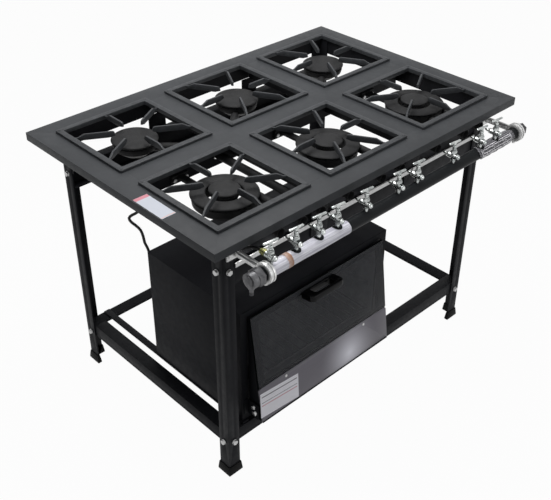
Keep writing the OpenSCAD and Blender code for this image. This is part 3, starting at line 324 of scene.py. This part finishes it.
def plastic(name, colour, rough=0.3, gloss=0.2, coat=0.5):
    mat, tree, shader = new_material(name)
    vector = coords(tree)
    fine = noise(tree, vector, 350.0, 3.0)
    cloud = remap(tree, noise(tree, vector, 30.0), 0.0, 1.0)
    result = mix_colour(tree, cloud, shade(colour, 0.85), shade(colour, 1.15))
    tree.links.new(result, shader.inputs["Base Color"])
    tree.links.new(remap(tree, fine, rough - 0.05, rough + 0.08), shader.inputs["Roughness"])
    shader.inputs["Specular IOR Level"].default_value = gloss
    shader.inputs["Coat Weight"].default_value = coat
    shader.inputs["Coat Roughness"].default_value = 0.12
    bump(tree, shader, fine, 0.08, 0.0003)
    return mat


def film(name, dark, pale, rough, cover, streaks):
    """Thin plastic film with creases that run along streaks, partly clear between them."""
    mat, tree, shader = new_material(name)
    vector = coords(tree, streaks)
    crease = noise(tree, vector, 1.0, 5.0, 0.7)
    factor = remap(tree, crease, 0.0, 1.0, 0.4, 0.62)
    tree.links.new(mix_colour(tree, factor, dark, pale), shader.inputs["Base Color"])
    tree.links.new(remap(tree, crease, rough - 0.05, rough + 0.15), shader.inputs["Roughness"])
    if cover < 1.0:
        tree.links.new(remap(tree, factor, cover - 0.15, 1.0, 0.0, 1.0), shader.inputs["Alpha"])
    bump(tree, shader, crease, 0.35, 0.0012)
    return mat


def looped_film(name, dark, pale, rough):
    """Clear bag rolled flat on the pipe, with pale folds LOOP_PITCH apart that run in loops round a
    middle line along LOOP_SPAN. Past LOOP_REACH from that line the film is plain."""
    mat, tree, shader = new_material(name)
    place = coords(tree)
    wobble = noise(tree, place, 90.0, 3.0)
    axes = split_xyz(tree, place)
    start, end = LOOP_SPAN
    along = calc(tree, "ABSOLUTE", calc(tree, "SUBTRACT", axes["X"], (start + end) / 2))
    beyond = calc(tree, "MAXIMUM", calc(tree, "SUBTRACT", along, (end - start) / 2), 0.0)
    slope = calc(tree, "SUBTRACT", calc(tree, "ADD", axes["Y"], axes["Z"]), PIPE_Y + PIPE_Z - LOOP_DROP)
    across = calc(tree, "MULTIPLY", slope, math.sqrt(0.5))
    squares = calc(
        tree, "ADD", calc(tree, "MULTIPLY", beyond, beyond), calc(tree, "MULTIPLY", across, across)
    )
    reach = calc(tree, "SQRT", squares)
    bent = calc(tree, "ADD", reach, calc(tree, "MULTIPLY", wobble, LOOP_PITCH * 0.9))
    folds = calc(tree, "SINE", calc(tree, "MULTIPLY", bent, 2 * math.pi / LOOP_PITCH))
    fade = remap(tree, reach, 1.0, 0.12, LOOP_REACH, LOOP_REACH + 0.0025)
    factor = calc(tree, "MULTIPLY", remap(tree, folds, 0.0, 1.0, 0.0, 0.9), fade)
    tree.links.new(mix_colour(tree, factor, dark, pale), shader.inputs["Base Color"])
    tree.links.new(remap(tree, wobble, rough - 0.05, rough + 0.15), shader.inputs["Roughness"])
    tree.links.new(remap(tree, factor, 0.5, 1.0, 0.0, 1.0), shader.inputs["Alpha"])
    bump(tree, shader, folds, 0.3, 0.0008)
    return mat


MATS = {
    "plate_paint": paint("plate_paint", (0.036, 0.038, 0.041), 0.5, 0.14, 0.2),
    "stand_paint": paint("stand_paint", (0.0095, 0.0098, 0.0115), 0.5, 0.06, 0.25),
    "shoe_paint": paint("shoe_paint", (0.006, 0.006, 0.006), 0.5, 0.06, 0.3),
    "zinc": plated("zinc", (0.46, 0.46, 0.46), 0.38),
    "pipe_steel": paint("pipe_steel", (0.0095, 0.0105, 0.0115), 0.45, 0.08, 0.3),
    # the much darker second tint clouds the valves' plating with partly painted reflections
    "valve_plating": plated("valve_plating", (0.58, 0.60, 0.59), 0.2, (0.20, 0.22, 0.22), 0.006),
    "brass": fittings(
        "fittings", (0.58, 0.60, 0.59), (0.24, 0.25, 0.24), (0.40, 0.38, 0.16), (0.20, 0.22, 0.09),
    ),
    "burner_iron": cast_iron("burner_iron", (0.018, 0.018, 0.0185), 0.55, 0.1),
    "grate_iron": cast_iron("grate_iron", (0.038, 0.040, 0.043), 0.5, 0.16, 0.25),
    "oven_paint": paint("oven_paint", (0.0062, 0.0065, 0.0078), 0.5, 0.03, 0.2),
    "liner_enamel": liner("liner_enamel", (0.80, 0.82, 0.83), (0.006, 0.006, 0.007)),
    "rack_wire": plated("rack_wire", (0.42, 0.42, 0.42), 0.3, metallic=0.35),
    "tube_steel": paint("tube_steel", (0.012, 0.012, 0.012), 0.4, 0.2, 0.2),
    "door_glass": tinted_glass("door_glass", (0.066, 0.067, 0.072)),
    # the stainless strip's paler spot is a painted highlight
    "stainless": brushed("stainless", (0.093, 0.089, 0.101), (0.42, 0.42, 0.46), 0.36),
    "handle_plastic": plastic("handle_plastic", (0.0022, 0.0022, 0.0026), 0.22, 0.05, 0.12),
}
SHELL_PAINT = paint("shell_paint", (0.0098, 0.0101, 0.0122), 0.5, 0.045, 0.2)
CAST_ZINC = plated("cast_zinc", (0.86, 0.86, 0.85), 0.5, (0.56, 0.56, 0.56), 0.010, 0.35, 0.55)
GREY_FITTING = plated(
    "grey_fitting", (0.12, 0.12, 0.125), 0.45, (0.05, 0.05, 0.054), 0.008, 0.3, 0.6,
)
DARK_FITTING = plated(
    "dark_fitting", (0.05, 0.05, 0.054), 0.45, (0.02, 0.02, 0.022), 0.008, 0.3, 0.6,
)
# the plate's sticker is the same white paper as the strip's label, painted darker here as shade
SHADED_PLATE_LABEL = paint("shaded_plate_label", (0.50, 0.52, 0.57), 0.5, 0.2, 0.05, spread=0.05)
STRIP_LABEL = paint("strip_label", (0.86, 0.84, 0.88), 0.5, 0.2, 0.05, spread=0.06)
LABEL_LINE = paint("label_line", (0.08, 0.08, 0.09), 0.5, 0.2, 0.05)
LABEL_BAND = paint("label_band", (0.55, 0.22, 0.26), 0.5, 0.2, 0.05)
LABEL_WARM = paint("label_warm", (0.62, 0.36, 0.30), 0.5, 0.2, 0.05)
SLEEVE = film("sleeve_film", (0.47, 0.46, 0.53), (0.94, 0.93, 0.98), 0.35, 1.0, (3.0, 90.0, 90.0))
TAPE = film("sleeve_tape", (0.50, 0.27, 0.16), (0.62, 0.47, 0.42), 0.35, 0.75, (60.0, 20.0, 20.0))
WRAP = looped_film("wrap_film", (0.17, 0.165, 0.18), (0.99, 0.97, 1.0), 0.3)
# near-black colour for the glass pane's edges, partly painted shade
GLASS_EDGE_SHADE = paint("glass_edge_shade", (0.004, 0.006, 0.005), 0.6, 0.0, 0.2)

slot_of = {s["node"]: s["material_slot"] for s in frame["record"]["subparts"]}


# Mesh helpers. Angles in degrees: edges sharper than SHARP_EDGE are broken on dressed nodes.

SHARP_EDGE = 32.0
MERGE = 0.00001


def finish_mesh(name, bm, mat, body, slot_name, smooth=35.0):
    """Makes the piece. Edges sharper than smooth stay crisp."""
    bmesh.ops.recalc_face_normals(bm, faces=bm.faces)
    limit = math.radians(smooth)
    for f in bm.faces:
        f.smooth = True
    for e in bm.edges:
        e.smooth = len(e.link_faces) == 2 and e.calc_face_angle(0.0) < limit
    mesh = bpy.data.meshes.new(name)
    bm.to_mesh(mesh)
    bm.free()
    obj = bpy.data.objects.new(name, mesh)
    scene.collection.objects.link(obj)
    mesh.materials.clear()
    mesh.materials.append(mat)
    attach(obj, body)
    return obj


def body_of_node(node):
    for body, members in frame["record"]["behaviour"]["bodies"].items():
        if node in members:
            return body
    return "stand"


def soften(bm, width, segments, angle=30.0):
    """Bevels the edges that are sharper than angle."""
    limit = math.radians(angle)
    sharp = [e for e in bm.edges if len(e.link_faces) == 2 and e.calc_face_angle(0.0) > limit]
    bmesh.ops.bevel(
        bm, geom=sharp, offset=width, offset_type="OFFSET", segments=segments,
        profile=0.5, affect="EDGES", clamp_overlap=True,
    )


def dress(node, bevel, segments, mat=None, turn=0.0):
    """A finished copy of a CAD node, with its edges broken as on the real piece. turn, in degrees,
    lays a square piece the other way round in its own place."""
    bm = bmesh.new()
    bm.from_mesh(nodes[node].data)
    if turn:
        low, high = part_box(node)
        centre = [(a + b) / 2 for a, b in zip(low, high)]
        quarter = Matrix.Rotation(math.radians(turn), 3, "Z")
        bmesh.ops.rotate(bm, verts=bm.verts, cent=centre, matrix=quarter)
    bmesh.ops.remove_doubles(bm, verts=bm.verts, dist=MERGE)
    bmesh.ops.dissolve_limit(bm, angle_limit=math.radians(1.0), verts=bm.verts, edges=bm.edges)
    soften(bm, bevel, segments, SHARP_EDGE)
    bmesh.ops.triangulate(bm, faces=[f for f in bm.faces if len(f.verts) > 4])
    slot_name = slot_of[node]
    obj = finish_mesh(node + "_finished", bm, mat or MATS[slot_name], body_of_node(node), slot_name, 40.0)
    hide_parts(node)


def keep(node):
    """A CAD node that stays, with its finished material."""
    obj = nodes[node]
    mat = MATS[slot_of[node]]
    if not obj.data.materials:
        obj.data.materials.append(mat)
    for i in range(len(obj.material_slots)):
        obj.material_slots[i].material = mat


def closed_lathe(bm, profile, centre, steps):
    """Turns (radius, height) pairs about the Z axis through centre, and closes both ends."""
    rings = []
    for radius, height in profile:
        ring = []
        for i in range(steps):
            a = 2 * math.pi * i / steps
            spoke = Vector((radius * math.cos(a), radius * math.sin(a), height))
            ring.append(bm.verts.new(centre + spoke))
        rings.append(ring)
    for a, b in zip(rings, rings[1:]):
        for i in range(steps):
            j = (i + 1) % steps
            bm.faces.new((a[i], a[j], b[j], b[i]))
    bm.faces.new(rings[0])
    bm.faces.new(rings[-1])


def slab(bm, outline, low, high, matrix):
    """A plate with the given outline in local X and Y, from low to high along local Z."""
    bottom = [bm.verts.new(matrix @ Vector((x, y, low))) for x, y in outline]
    top = [bm.verts.new(matrix @ Vector((x, y, high))) for x, y in outline]
    bm.faces.new(bottom[::-1])
    bm.faces.new(top)
    count = len(outline)
    for i in range(count):
        j = (i + 1) % count
        bm.faces.new((bottom[i], bottom[j], top[j], top[i]))


# Studio

WORLD_LIGHT = 0.2
WORLD_TINT = (0.9, 0.94, 1.0, 1.0)
FLOOR_GREY = (0.45, 0.45, 0.45, 1.0)
FLOOR_HALF = 14.0
FLOOR_DROP = 0.0005
FLOOR_GLOW = 0.97
WHITE = (1.0, 1.0, 1.0, 1.0)


def pale_rays(tree):
    """One where a camera, mirror or glass ray looks at the background, so that it shows white there."""
    path = tree.nodes.new("ShaderNodeLightPath")
    total = path.outputs["Is Camera Ray"]
    for name in ("Is Glossy Ray", "Is Transmission Ray"):
        total = calc(tree, "MAXIMUM", total, path.outputs[name])
    return total


def make_world():
    world = bpy.data.worlds.new("studio")
    scene.world = world
    world.use_nodes = True
    tree = world.node_tree
    tree.nodes.clear()
    out = tree.nodes.new("ShaderNodeOutputWorld")
    soft = tree.nodes.new("ShaderNodeBackground")
    soft.inputs["Color"].default_value = WORLD_TINT
    soft.inputs["Strength"].default_value = WORLD_LIGHT
    white = tree.nodes.new("ShaderNodeBackground")
    white.inputs["Color"].default_value = WHITE
    white.inputs["Strength"].default_value = 1.0
    mix = tree.nodes.new("ShaderNodeMixShader")
    tree.links.new(pale_rays(tree), mix.inputs[0])
    tree.links.new(soft.outputs[0], mix.inputs[1])
    tree.links.new(white.outputs[0], mix.inputs[2])
    tree.links.new(mix.outputs[0], out.inputs["Surface"])


def make_floor():
    mesh = bpy.data.meshes.new("floor")
    bm = bmesh.new()
    bmesh.ops.create_grid(bm, x_segments=2, y_segments=2, size=FLOOR_HALF)
    bm.to_mesh(mesh)
    bm.free()
    floor = bpy.data.objects.new("floor", mesh)
    floor.location.z = -FLOOR_DROP
    scene.collection.objects.link(floor)
    mat, tree, shader = new_material("floor_white")
    shader.inputs["Base Color"].default_value = FLOOR_GREY
    shader.inputs["Roughness"].default_value = 0.9
    shader.inputs["Specular IOR Level"].default_value = 0.0
    glow = tree.nodes.new("ShaderNodeEmission")
    glow.inputs["Strength"].default_value = 1.0
    part = calc(tree, "MULTIPLY", pale_rays(tree), FLOOR_GLOW)
    mix = tree.nodes.new("ShaderNodeMixShader")
    out = tree.nodes["Material Output"]
    tree.links.new(part, mix.inputs[0])
    tree.links.new(shader.outputs[0], mix.inputs[1])
    tree.links.new(glow.outputs[0], mix.inputs[2])
    tree.links.new(mix.outputs[0], out.inputs["Surface"])
    mesh.materials.append(mat)


def area_light(name, place, target, size, power):
    data = bpy.data.lights.new(name, "AREA")
    data.shape = "RECTANGLE"
    data.size = size[0]
    data.size_y = size[1]
    data.energy = power
    light = bpy.data.objects.new(name, data)
    light.location = place
    light.rotation_mode = "QUATERNION"
    light.rotation_quaternion = (Vector(target) - Vector(place)).to_track_quat("-Z", "Y")
    scene.collection.objects.link(light)


def make_lights():
    area_light("top_softbox", (-0.02, 0.3, 2.1), (0.0, 0.1, 0.6), (1.1, 0.9), 27.5)
    area_light("left_softbox", (-3.2, -0.8, 1.9), (0.0, 0.0, 0.5), (1.4, 1.6), 5.0)
    area_light("front_softbox", (0.6, -3.4, 1.7), (0.0, 0.0, 0.5), (2.0, 1.4), 30.0)


make_camera()
make_world()
make_floor()
make_lights()

# CAD nodes whose shapes are right keep them, with broken edges where those catch the light. Each has
# the bevel's width and its number of segments.
EDGES = {
    "top_plate": (0.0012, 3),
    "plate_ribs": (0.0005, 1),
    "leg_front_left": (0.0009, 2),
    "leg_front_right": (0.0009, 2),
    "leg_rear_left": (0.0009, 2),
    "leg_rear_right": (0.0009, 2),
    "leg_shoes": (0.0008, 2),
    "upper_rails": (0.0006, 2),
    "lower_rails": (0.0008, 2),
    "oven_bearers": (0.0008, 2),
    "burner_beam": (0.0005, 1),
    "front_tie_bar": (0.0006, 2),
    "frame_bolts": (0.0005, 2),
    "manifold_brackets": (0.0012, 3),
    "inlet_elbow": (0.0007, 2),
    "end_plug": (0.0009, 2),
    "oven_shell": (0.0006, 2),
    "oven_front_frame": (0.0004, 1),
    "hinge_brackets": (0.0004, 2),
    "door_frame": (0.0004, 1),
    "door_glass": (0.0006, 2),
    "door_strip": (0.0005, 2),
}
FINISH = {
    "manifold_brackets": CAST_ZINC,
    "oven_shell": SHELL_PAINT,
    "inlet_elbow": GREY_FITTING,
    "end_plug": DARK_FITTING,
    "hinge_brackets": MATS["oven_paint"],
}


def shade_glass_edges():
    """The narrow edges of the glass pane get a near-black colour: partly the glass's own dark edge, partly
    painted shade that stands for the dark band along the pane's top.
    """
    pane = bpy.data.objects["door_glass_finished"]
    pane.data.materials.append(GLASS_EDGE_SHADE)
    face = Vector((0.0, -math.cos(DOOR_TILT), math.sin(DOOR_TILT)))
    for polygon in pane.data.polygons:
        if abs(polygon.normal.dot(face)) < 0.9:
            polygon.material_index = 1


# These three grates lie a quarter turn round from the others
TURNED = ("grate_front_middle", "grate_rear_middle", "grate_rear_right")
# Nodes that a piece made further down replaces
REBUILT = ["door_handle"] + ["valve_handle_%d" % (i + 1) for i in range(len(VALVE_X))]
for node in nodes:
    if node in REBUILT:
        continue
    if node in EDGES:
        dress(node, *EDGES[node], FINISH.get(node))
    elif node.startswith("grate_"):
        dress(node, 0.0012, 2, turn=90.0 if node in TURNED else 0.0)
    elif "_cap_" in node:
        dress(node, 0.0008, 2)
    else:
        keep(node)


def bright_bolts():
    """The pins and stop bolts of the hinges are zinc plated, unlike their painted ears."""
    ears = bpy.data.objects["hinge_brackets_finished"]
    ears.data.materials.append(MATS["zinc"])
    for polygon in ears.data.polygons:
        centre = polygon.center
        outside = abs(centre.x - OVEN_X) > EAR_OUT + EAR_MARGIN
        inside = abs(centre.x - OVEN_X) < EAR_IN - EAR_MARGIN
        near = any(math.hypot(centre.y - p.y, centre.z - p.z) < BOLT_REACH for p in (HINGE, STOP_BOLT))
        if near and (outside or inside):
            polygon.material_index = 1


shade_glass_edges()
bright_bolts()

# Handles of the valves and of the door. Heights of the T are above the stem, and its hub is given as
# (radius, height) pairs.
TEE_HUB = [(0.0050, 0.0), (0.0056, 0.0006), (0.0056, 0.0042), (0.0048, 0.0056)]
TEE_HALF = 0.0215
TEE_LOW = 0.0130
TEE_HIGH = 0.0180
TEE_THICK = 0.0046
TEE_NECK_HALF = 0.0035
TEE_NECK_LOW = 0.0060
TEE_FOOT = (0.0042, 0.0045)
TEE_FILLET = 0.0050
TEE_TURN = math.radians(-6)
GRIP_W = 0.124
GRIP_OUT = 0.044
GRIP_H = 0.019
GRIP_HOLE_HALF = 0.035
GRIP_BACK = 0.007
GRIP_FRONT = 0.013
GRIP_GAP = 0.0001
GRIP_FOOT_R = 0.004
GRIP_CORNER_R = 0.014
GRIP_HOLE_R = 0.006
GRIP_X = -0.014
GRIP_Z = -0.020


def arc_points(centre, radius, start, end, steps):
    points = []
    for i in range(steps + 1):
        a = math.radians(start + (end - start) * i / steps)
        points.append((centre[0] + radius * math.cos(a), centre[1] + radius * math.sin(a)))
    return points


def valve_handle(index):
    """A pressed T: round hub, flat neck that flares into the bar, and the bar's rounded ends."""
    name = "valve_handle_%d" % (index + 1)
    place = Matrix.Translation((VALVE_X[index], PIPE_Y, STEM_TOP))
    bm = bmesh.new()
    closed_lathe(bm, TEE_HUB, place.translation, 24)
    mid = (TEE_LOW + TEE_HIGH) / 2
    round_r = (TEE_HIGH - TEE_LOW) / 2
    right = arc_points((TEE_HALF - round_r, mid), round_r, -90, 90, 8)
    fillet_centre = (TEE_NECK_HALF + TEE_FILLET, TEE_LOW - TEE_FILLET)
    fillet = arc_points(fillet_centre, TEE_FILLET, 180, 90, 5)
    side = [TEE_FOOT, (TEE_NECK_HALF, TEE_NECK_LOW)] + fillet + right
    outline = side + [(-x, z) for x, z in side[::-1]]
    stand_up = place @ Matrix.Rotation(TEE_TURN, 4, "Z") @ Matrix.Rotation(math.radians(90), 4, "X")
    tee = bmesh.new()
    slab(tee, outline, -TEE_THICK / 2, TEE_THICK / 2, stand_up)
    bmesh.ops.recalc_face_normals(tee, faces=tee.faces)
    soften(tee, 0.0007, 2)
    part = bpy.data.meshes.new(name + "_tee")
    tee.to_mesh(part)
    tee.free()
    bm.from_mesh(part)
    bpy.data.meshes.remove(part)
    obj = finish_mesh(name + "_tee_handle", bm, MATS["valve_plating"], body_of_node(name), slot_of[name])
    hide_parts(name)


def corner_outline(low, high, near_r, far_r, steps=6):
    """A rectangle whose two near and two far corners have their own radii."""
    points = []
    for x, y, r, start in (
        (high[0], high[1], far_r, 0),
        (low[0], high[1], far_r, 90),
        (low[0], low[1], near_r, 180),
        (high[0], low[1], near_r, 270),
    ):
        cx = x - r if x == high[0] else x + r
        cy = y - r if y == high[1] else y + r
        points += arc_points((cx, cy), r, start, start + 90, steps)
    return points


def door_handle():
    """The moulded D: thick arms, a round-cornered opening and soft edges all over."""
    low = (-GRIP_W / 2, GRIP_GAP)
    high = (GRIP_W / 2, GRIP_OUT)
    outer = corner_outline(low, high, GRIP_FOOT_R, GRIP_CORNER_R)
    hole_low = (-GRIP_HOLE_HALF, GRIP_BACK)
    hole_high = (GRIP_HOLE_HALF, GRIP_OUT - GRIP_FRONT)
    inner = corner_outline(hole_low, hole_high, GRIP_HOLE_R, GRIP_HOLE_R)
    lay_flat = door_matrix(GRIP_X, GRIP_Z) @ Matrix.Rotation(math.radians(90), 4, "X")
    bm = bmesh.new()
    loops = []
    for z in (-GRIP_H / 2, GRIP_H / 2):
        for points in (outer, inner):
            loops.append([bm.verts.new(lay_flat @ Vector((x, y, z))) for x, y in points])
    low_out, low_in, high_out, high_in = loops
    count = len(outer)
    for i in range(count):
        j = (i + 1) % count
        bm.faces.new((low_out[j], low_out[i], low_in[i], low_in[j]))
        bm.faces.new((high_out[i], high_out[j], high_in[j], high_in[i]))
        bm.faces.new((low_out[i], low_out[j], high_out[j], high_out[i]))
        bm.faces.new((low_in[j], low_in[i], high_in[i], high_in[j]))
    bmesh.ops.recalc_face_normals(bm, faces=bm.faces)
    soften(bm, 0.0034, 4, 50.0)
    obj = finish_mesh("door_grip", bm, MATS["handle_plastic"], "oven_door", "handle_plastic", 50.0)
    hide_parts("door_handle")


# Papers, hem, sleeve, tape and film

PAPER = 0.00012
PRINT = 0.00004
GLUE = 0.00002
STICKER_CENTRE = Vector((-0.5488, -0.1443 + SHIFT_Y, PLATE_TOP))
STICKER_TURN = math.radians(-0.5)
LABEL_X = -0.185
LABEL_Z = -0.284
LABEL_TURN = math.radians(-4.5)
HEM_H = 0.0036
HEM_T = 0.0007
FRONT_ANGLE = math.radians(135)
BOSS_CLEAR = 0.0125
SLEEVE_SPAN = (-0.452, -0.199)
TAPE_SPAN = (-0.409, -0.394)
WRAP_SPAN = (0.322, 0.492)
SLEEVE_R = 0.0176
TAPE_R = 0.0184
WRAP_R = 0.0186
WRAP_SLANT = 0.030


def paper(name, matrix, size, radius, thick, mat, body, slot_name, lift=0.0):
    """A thin sheet with rounded corners. Its face looks along the matrix's Z."""
    bm = bmesh.new()
    half_w = size[0] / 2
    half_h = size[1] / 2
    outline = corner_outline((-half_w, -half_h), (half_w, half_h), radius, radius, 5)
    slab(bm, outline, lift, lift + thick, matrix)
    return finish_mesh(name, bm, mat, body, slot_name)


def plate_sticker():
    flat = Matrix.Translation(STICKER_CENTRE) @ Matrix.Rotation(STICKER_TURN, 4, "Z")
    on_print = PAPER + GLUE
    for name, v, size, radius, thick, mat, lift in (
        ("plate_sticker", 0.0, (0.041, 0.114), 0.0015, PAPER, SHADED_PLATE_LABEL, GLUE),
        ("plate_sticker_band", 0.0505, (0.0405, 0.0125), 0.001, PRINT, LABEL_BAND, on_print),
        ("plate_sticker_line", -0.0535, (0.040, 0.0022), 0.0004, PRINT, LABEL_WARM, on_print),
    ):
        place = flat @ Matrix.Translation((0.0, v, 0.0))
        paper(name, place, size, radius, thick, mat, "stand", "plate_paint", lift)


def door_matrix(x, z):
    """Places local X, Y and Z along the door's width, its height and straight out of its face."""
    hang = Matrix.Translation((OVEN_X, DOOR_BACK, DOOR_TOP)) @ Matrix.Rotation(-DOOR_TILT, 4, "X")
    face = Matrix(((1, 0, 0, 0), (0, 0, -1, 0), (0, 1, 0, 0), (0, 0, 0, 1)))
    return hang @ Matrix.Translation((x, DOOR_FACE, z)) @ face


def strip_label():
    flat = door_matrix(LABEL_X, LABEL_Z) @ Matrix.Rotation(LABEL_TURN, 4, "Z")
    on_print = PAPER + GLUE
    for name, v, size, radius, thick, mat, lift in (
        ("strip_label", 0.0, (0.140, 0.076), 0.002, PAPER, STRIP_LABEL, GLUE),
        ("strip_label_rule", 0.0255, (0.130, 0.0028), 0.0005, PRINT, LABEL_LINE, on_print),
        ("strip_label_second_rule", 0.0075, (0.130, 0.0016), 0.0005, PRINT, LABEL_LINE, on_print),
        ("strip_label_warm_rule", -0.0015, (0.130, 0.0024), 0.0005, PRINT, LABEL_BAND, on_print),
    ):
        place = flat @ Matrix.Translation((0.0, v, 0.0))
        paper(name, place, size, radius, thick, mat, "oven_door", "stainless", lift)


def door_hem():
    """The frame's painted lower edge, folded up over the foot of the strip."""
    flat = door_matrix(0.0, HEM_H / 2 - DOOR_LENGTH)
    slot_name = slot_of["door_frame"]
    paper("door_hem", flat, (DOOR_W - 0.001, HEM_H), 0.0012, HEM_T, MATS[slot_name], "oven_door", slot_name)


def uneven_wave(a, b):
    """A smooth wave between -1 and 1 without a plain rhythm."""
    return math.sin(a * 12.9898 + b * 78.233) * 0.5 + math.sin(a * 4.1 - b * 9.7) * 0.5


def film_tube(name, span, radius, thick, mat, wave, steps_x=70, steps_a=48, holes=(), slant=0.0):
    """A thin tube of film round the pipe, from span[0] to span[1]. wave gives the radius at (x, angle),
    and holes at the given X clear the valve bosses. slant shortens both ends behind the pipe, so that
    they look round from the front."""
    bm = bmesh.new()
    grid = []
    for side in (1, 0):
        rows = []
        for i in range(steps_x + 1):
            t = i / steps_x
            row = []
            for j in range(steps_a):
                a = 2 * math.pi * j / steps_a
                short = slant * (1.0 - math.cos(a - FRONT_ANGLE)) / 2
                x = span[0] + short + (span[1] - span[0] - 2 * short) * t
                r = radius + wave(t, a) - (0.0 if side else thick)
                row.append(bm.verts.new((x, PIPE_Y + r * math.cos(a), PIPE_Z + r * math.sin(a))))
            rows.append(row)
        grid.append(rows)
    inside = set()
    for rows in grid:
        for row in rows:
            for v in row:
                if v.co.z < PIPE_Z:
                    continue
                for hx in holes:
                    away = Vector((v.co.x - hx, v.co.y - PIPE_Y, 0.0))
                    if away.length < BOSS_CLEAR:
                        inside.add(v)
                        push = away.normalized() if away.length > 0 else Vector((1, 0, 0))
                        v.co.x = hx + push.x * BOSS_CLEAR
                        v.co.y = PIPE_Y + push.y * BOSS_CLEAR
    outer, inner = grid
    for i in range(steps_x):
        for j in range(steps_a):
            k = (j + 1) % steps_a
            quad = (outer[i][j], outer[i][k], outer[i + 1][k], outer[i + 1][j])
            if not all(v in inside for v in quad):
                bm.faces.new(quad)
            back = (inner[i][j], inner[i + 1][j], inner[i + 1][k], inner[i][k])
            if not all(v in inside for v in back):
                bm.faces.new(back)
    for i in (0, steps_x):
        for j in range(steps_a):
            k = (j + 1) % steps_a
            bm.faces.new((outer[i][j], inner[i][j], inner[i][k], outer[i][k]))
    for v in [v for v in bm.verts if not v.link_faces]:
        bm.verts.remove(v)
    bmesh.ops.remove_doubles(bm, verts=bm.verts, dist=0.00002)
    return finish_mesh(name, bm, mat, "stand", "pipe_steel", 60.0)


def pipe_wraps():
    def sleeve_wave(t, a):
        return 0.00025 * uneven_wave(t * 3.0, math.sin(a)) + 0.0002 * math.sin(2 * a + 9 * t)

    film_tube("pipe_sleeve", SLEEVE_SPAN, SLEEVE_R, 0.0004, SLEEVE, sleeve_wave, holes=VALVE_X[1:4])

    def tape_wave(t, a):
        return 0.00015 * math.sin(5 * a + 3.0 * t)

    film_tube("sleeve_tape", TAPE_SPAN, TAPE_R, 0.0002, TAPE, tape_wave, 8, 40)

    def wrap_wave(t, a):
        ends = max(0.0, 1.0 - min(t, 1.0 - t) * 9.0)
        crease = math.sin(38.0 * t + 2.6 * math.sin(3.0 * a)) * math.sin(3.0 * a + 11.0 * t)
        return 0.0011 + 0.0012 * crease - 0.0010 * ends * ends

    film_tube(
        "pipe_wrap", WRAP_SPAN, WRAP_R, 0.0003, WRAP, wrap_wave, 110, 56,
        holes=VALVE_X[8:], slant=WRAP_SLANT,
    )


for index in range(len(VALVE_X)):
    valve_handle(index)
door_handle()
plate_sticker()
strip_label()
door_hem()
pipe_wraps()
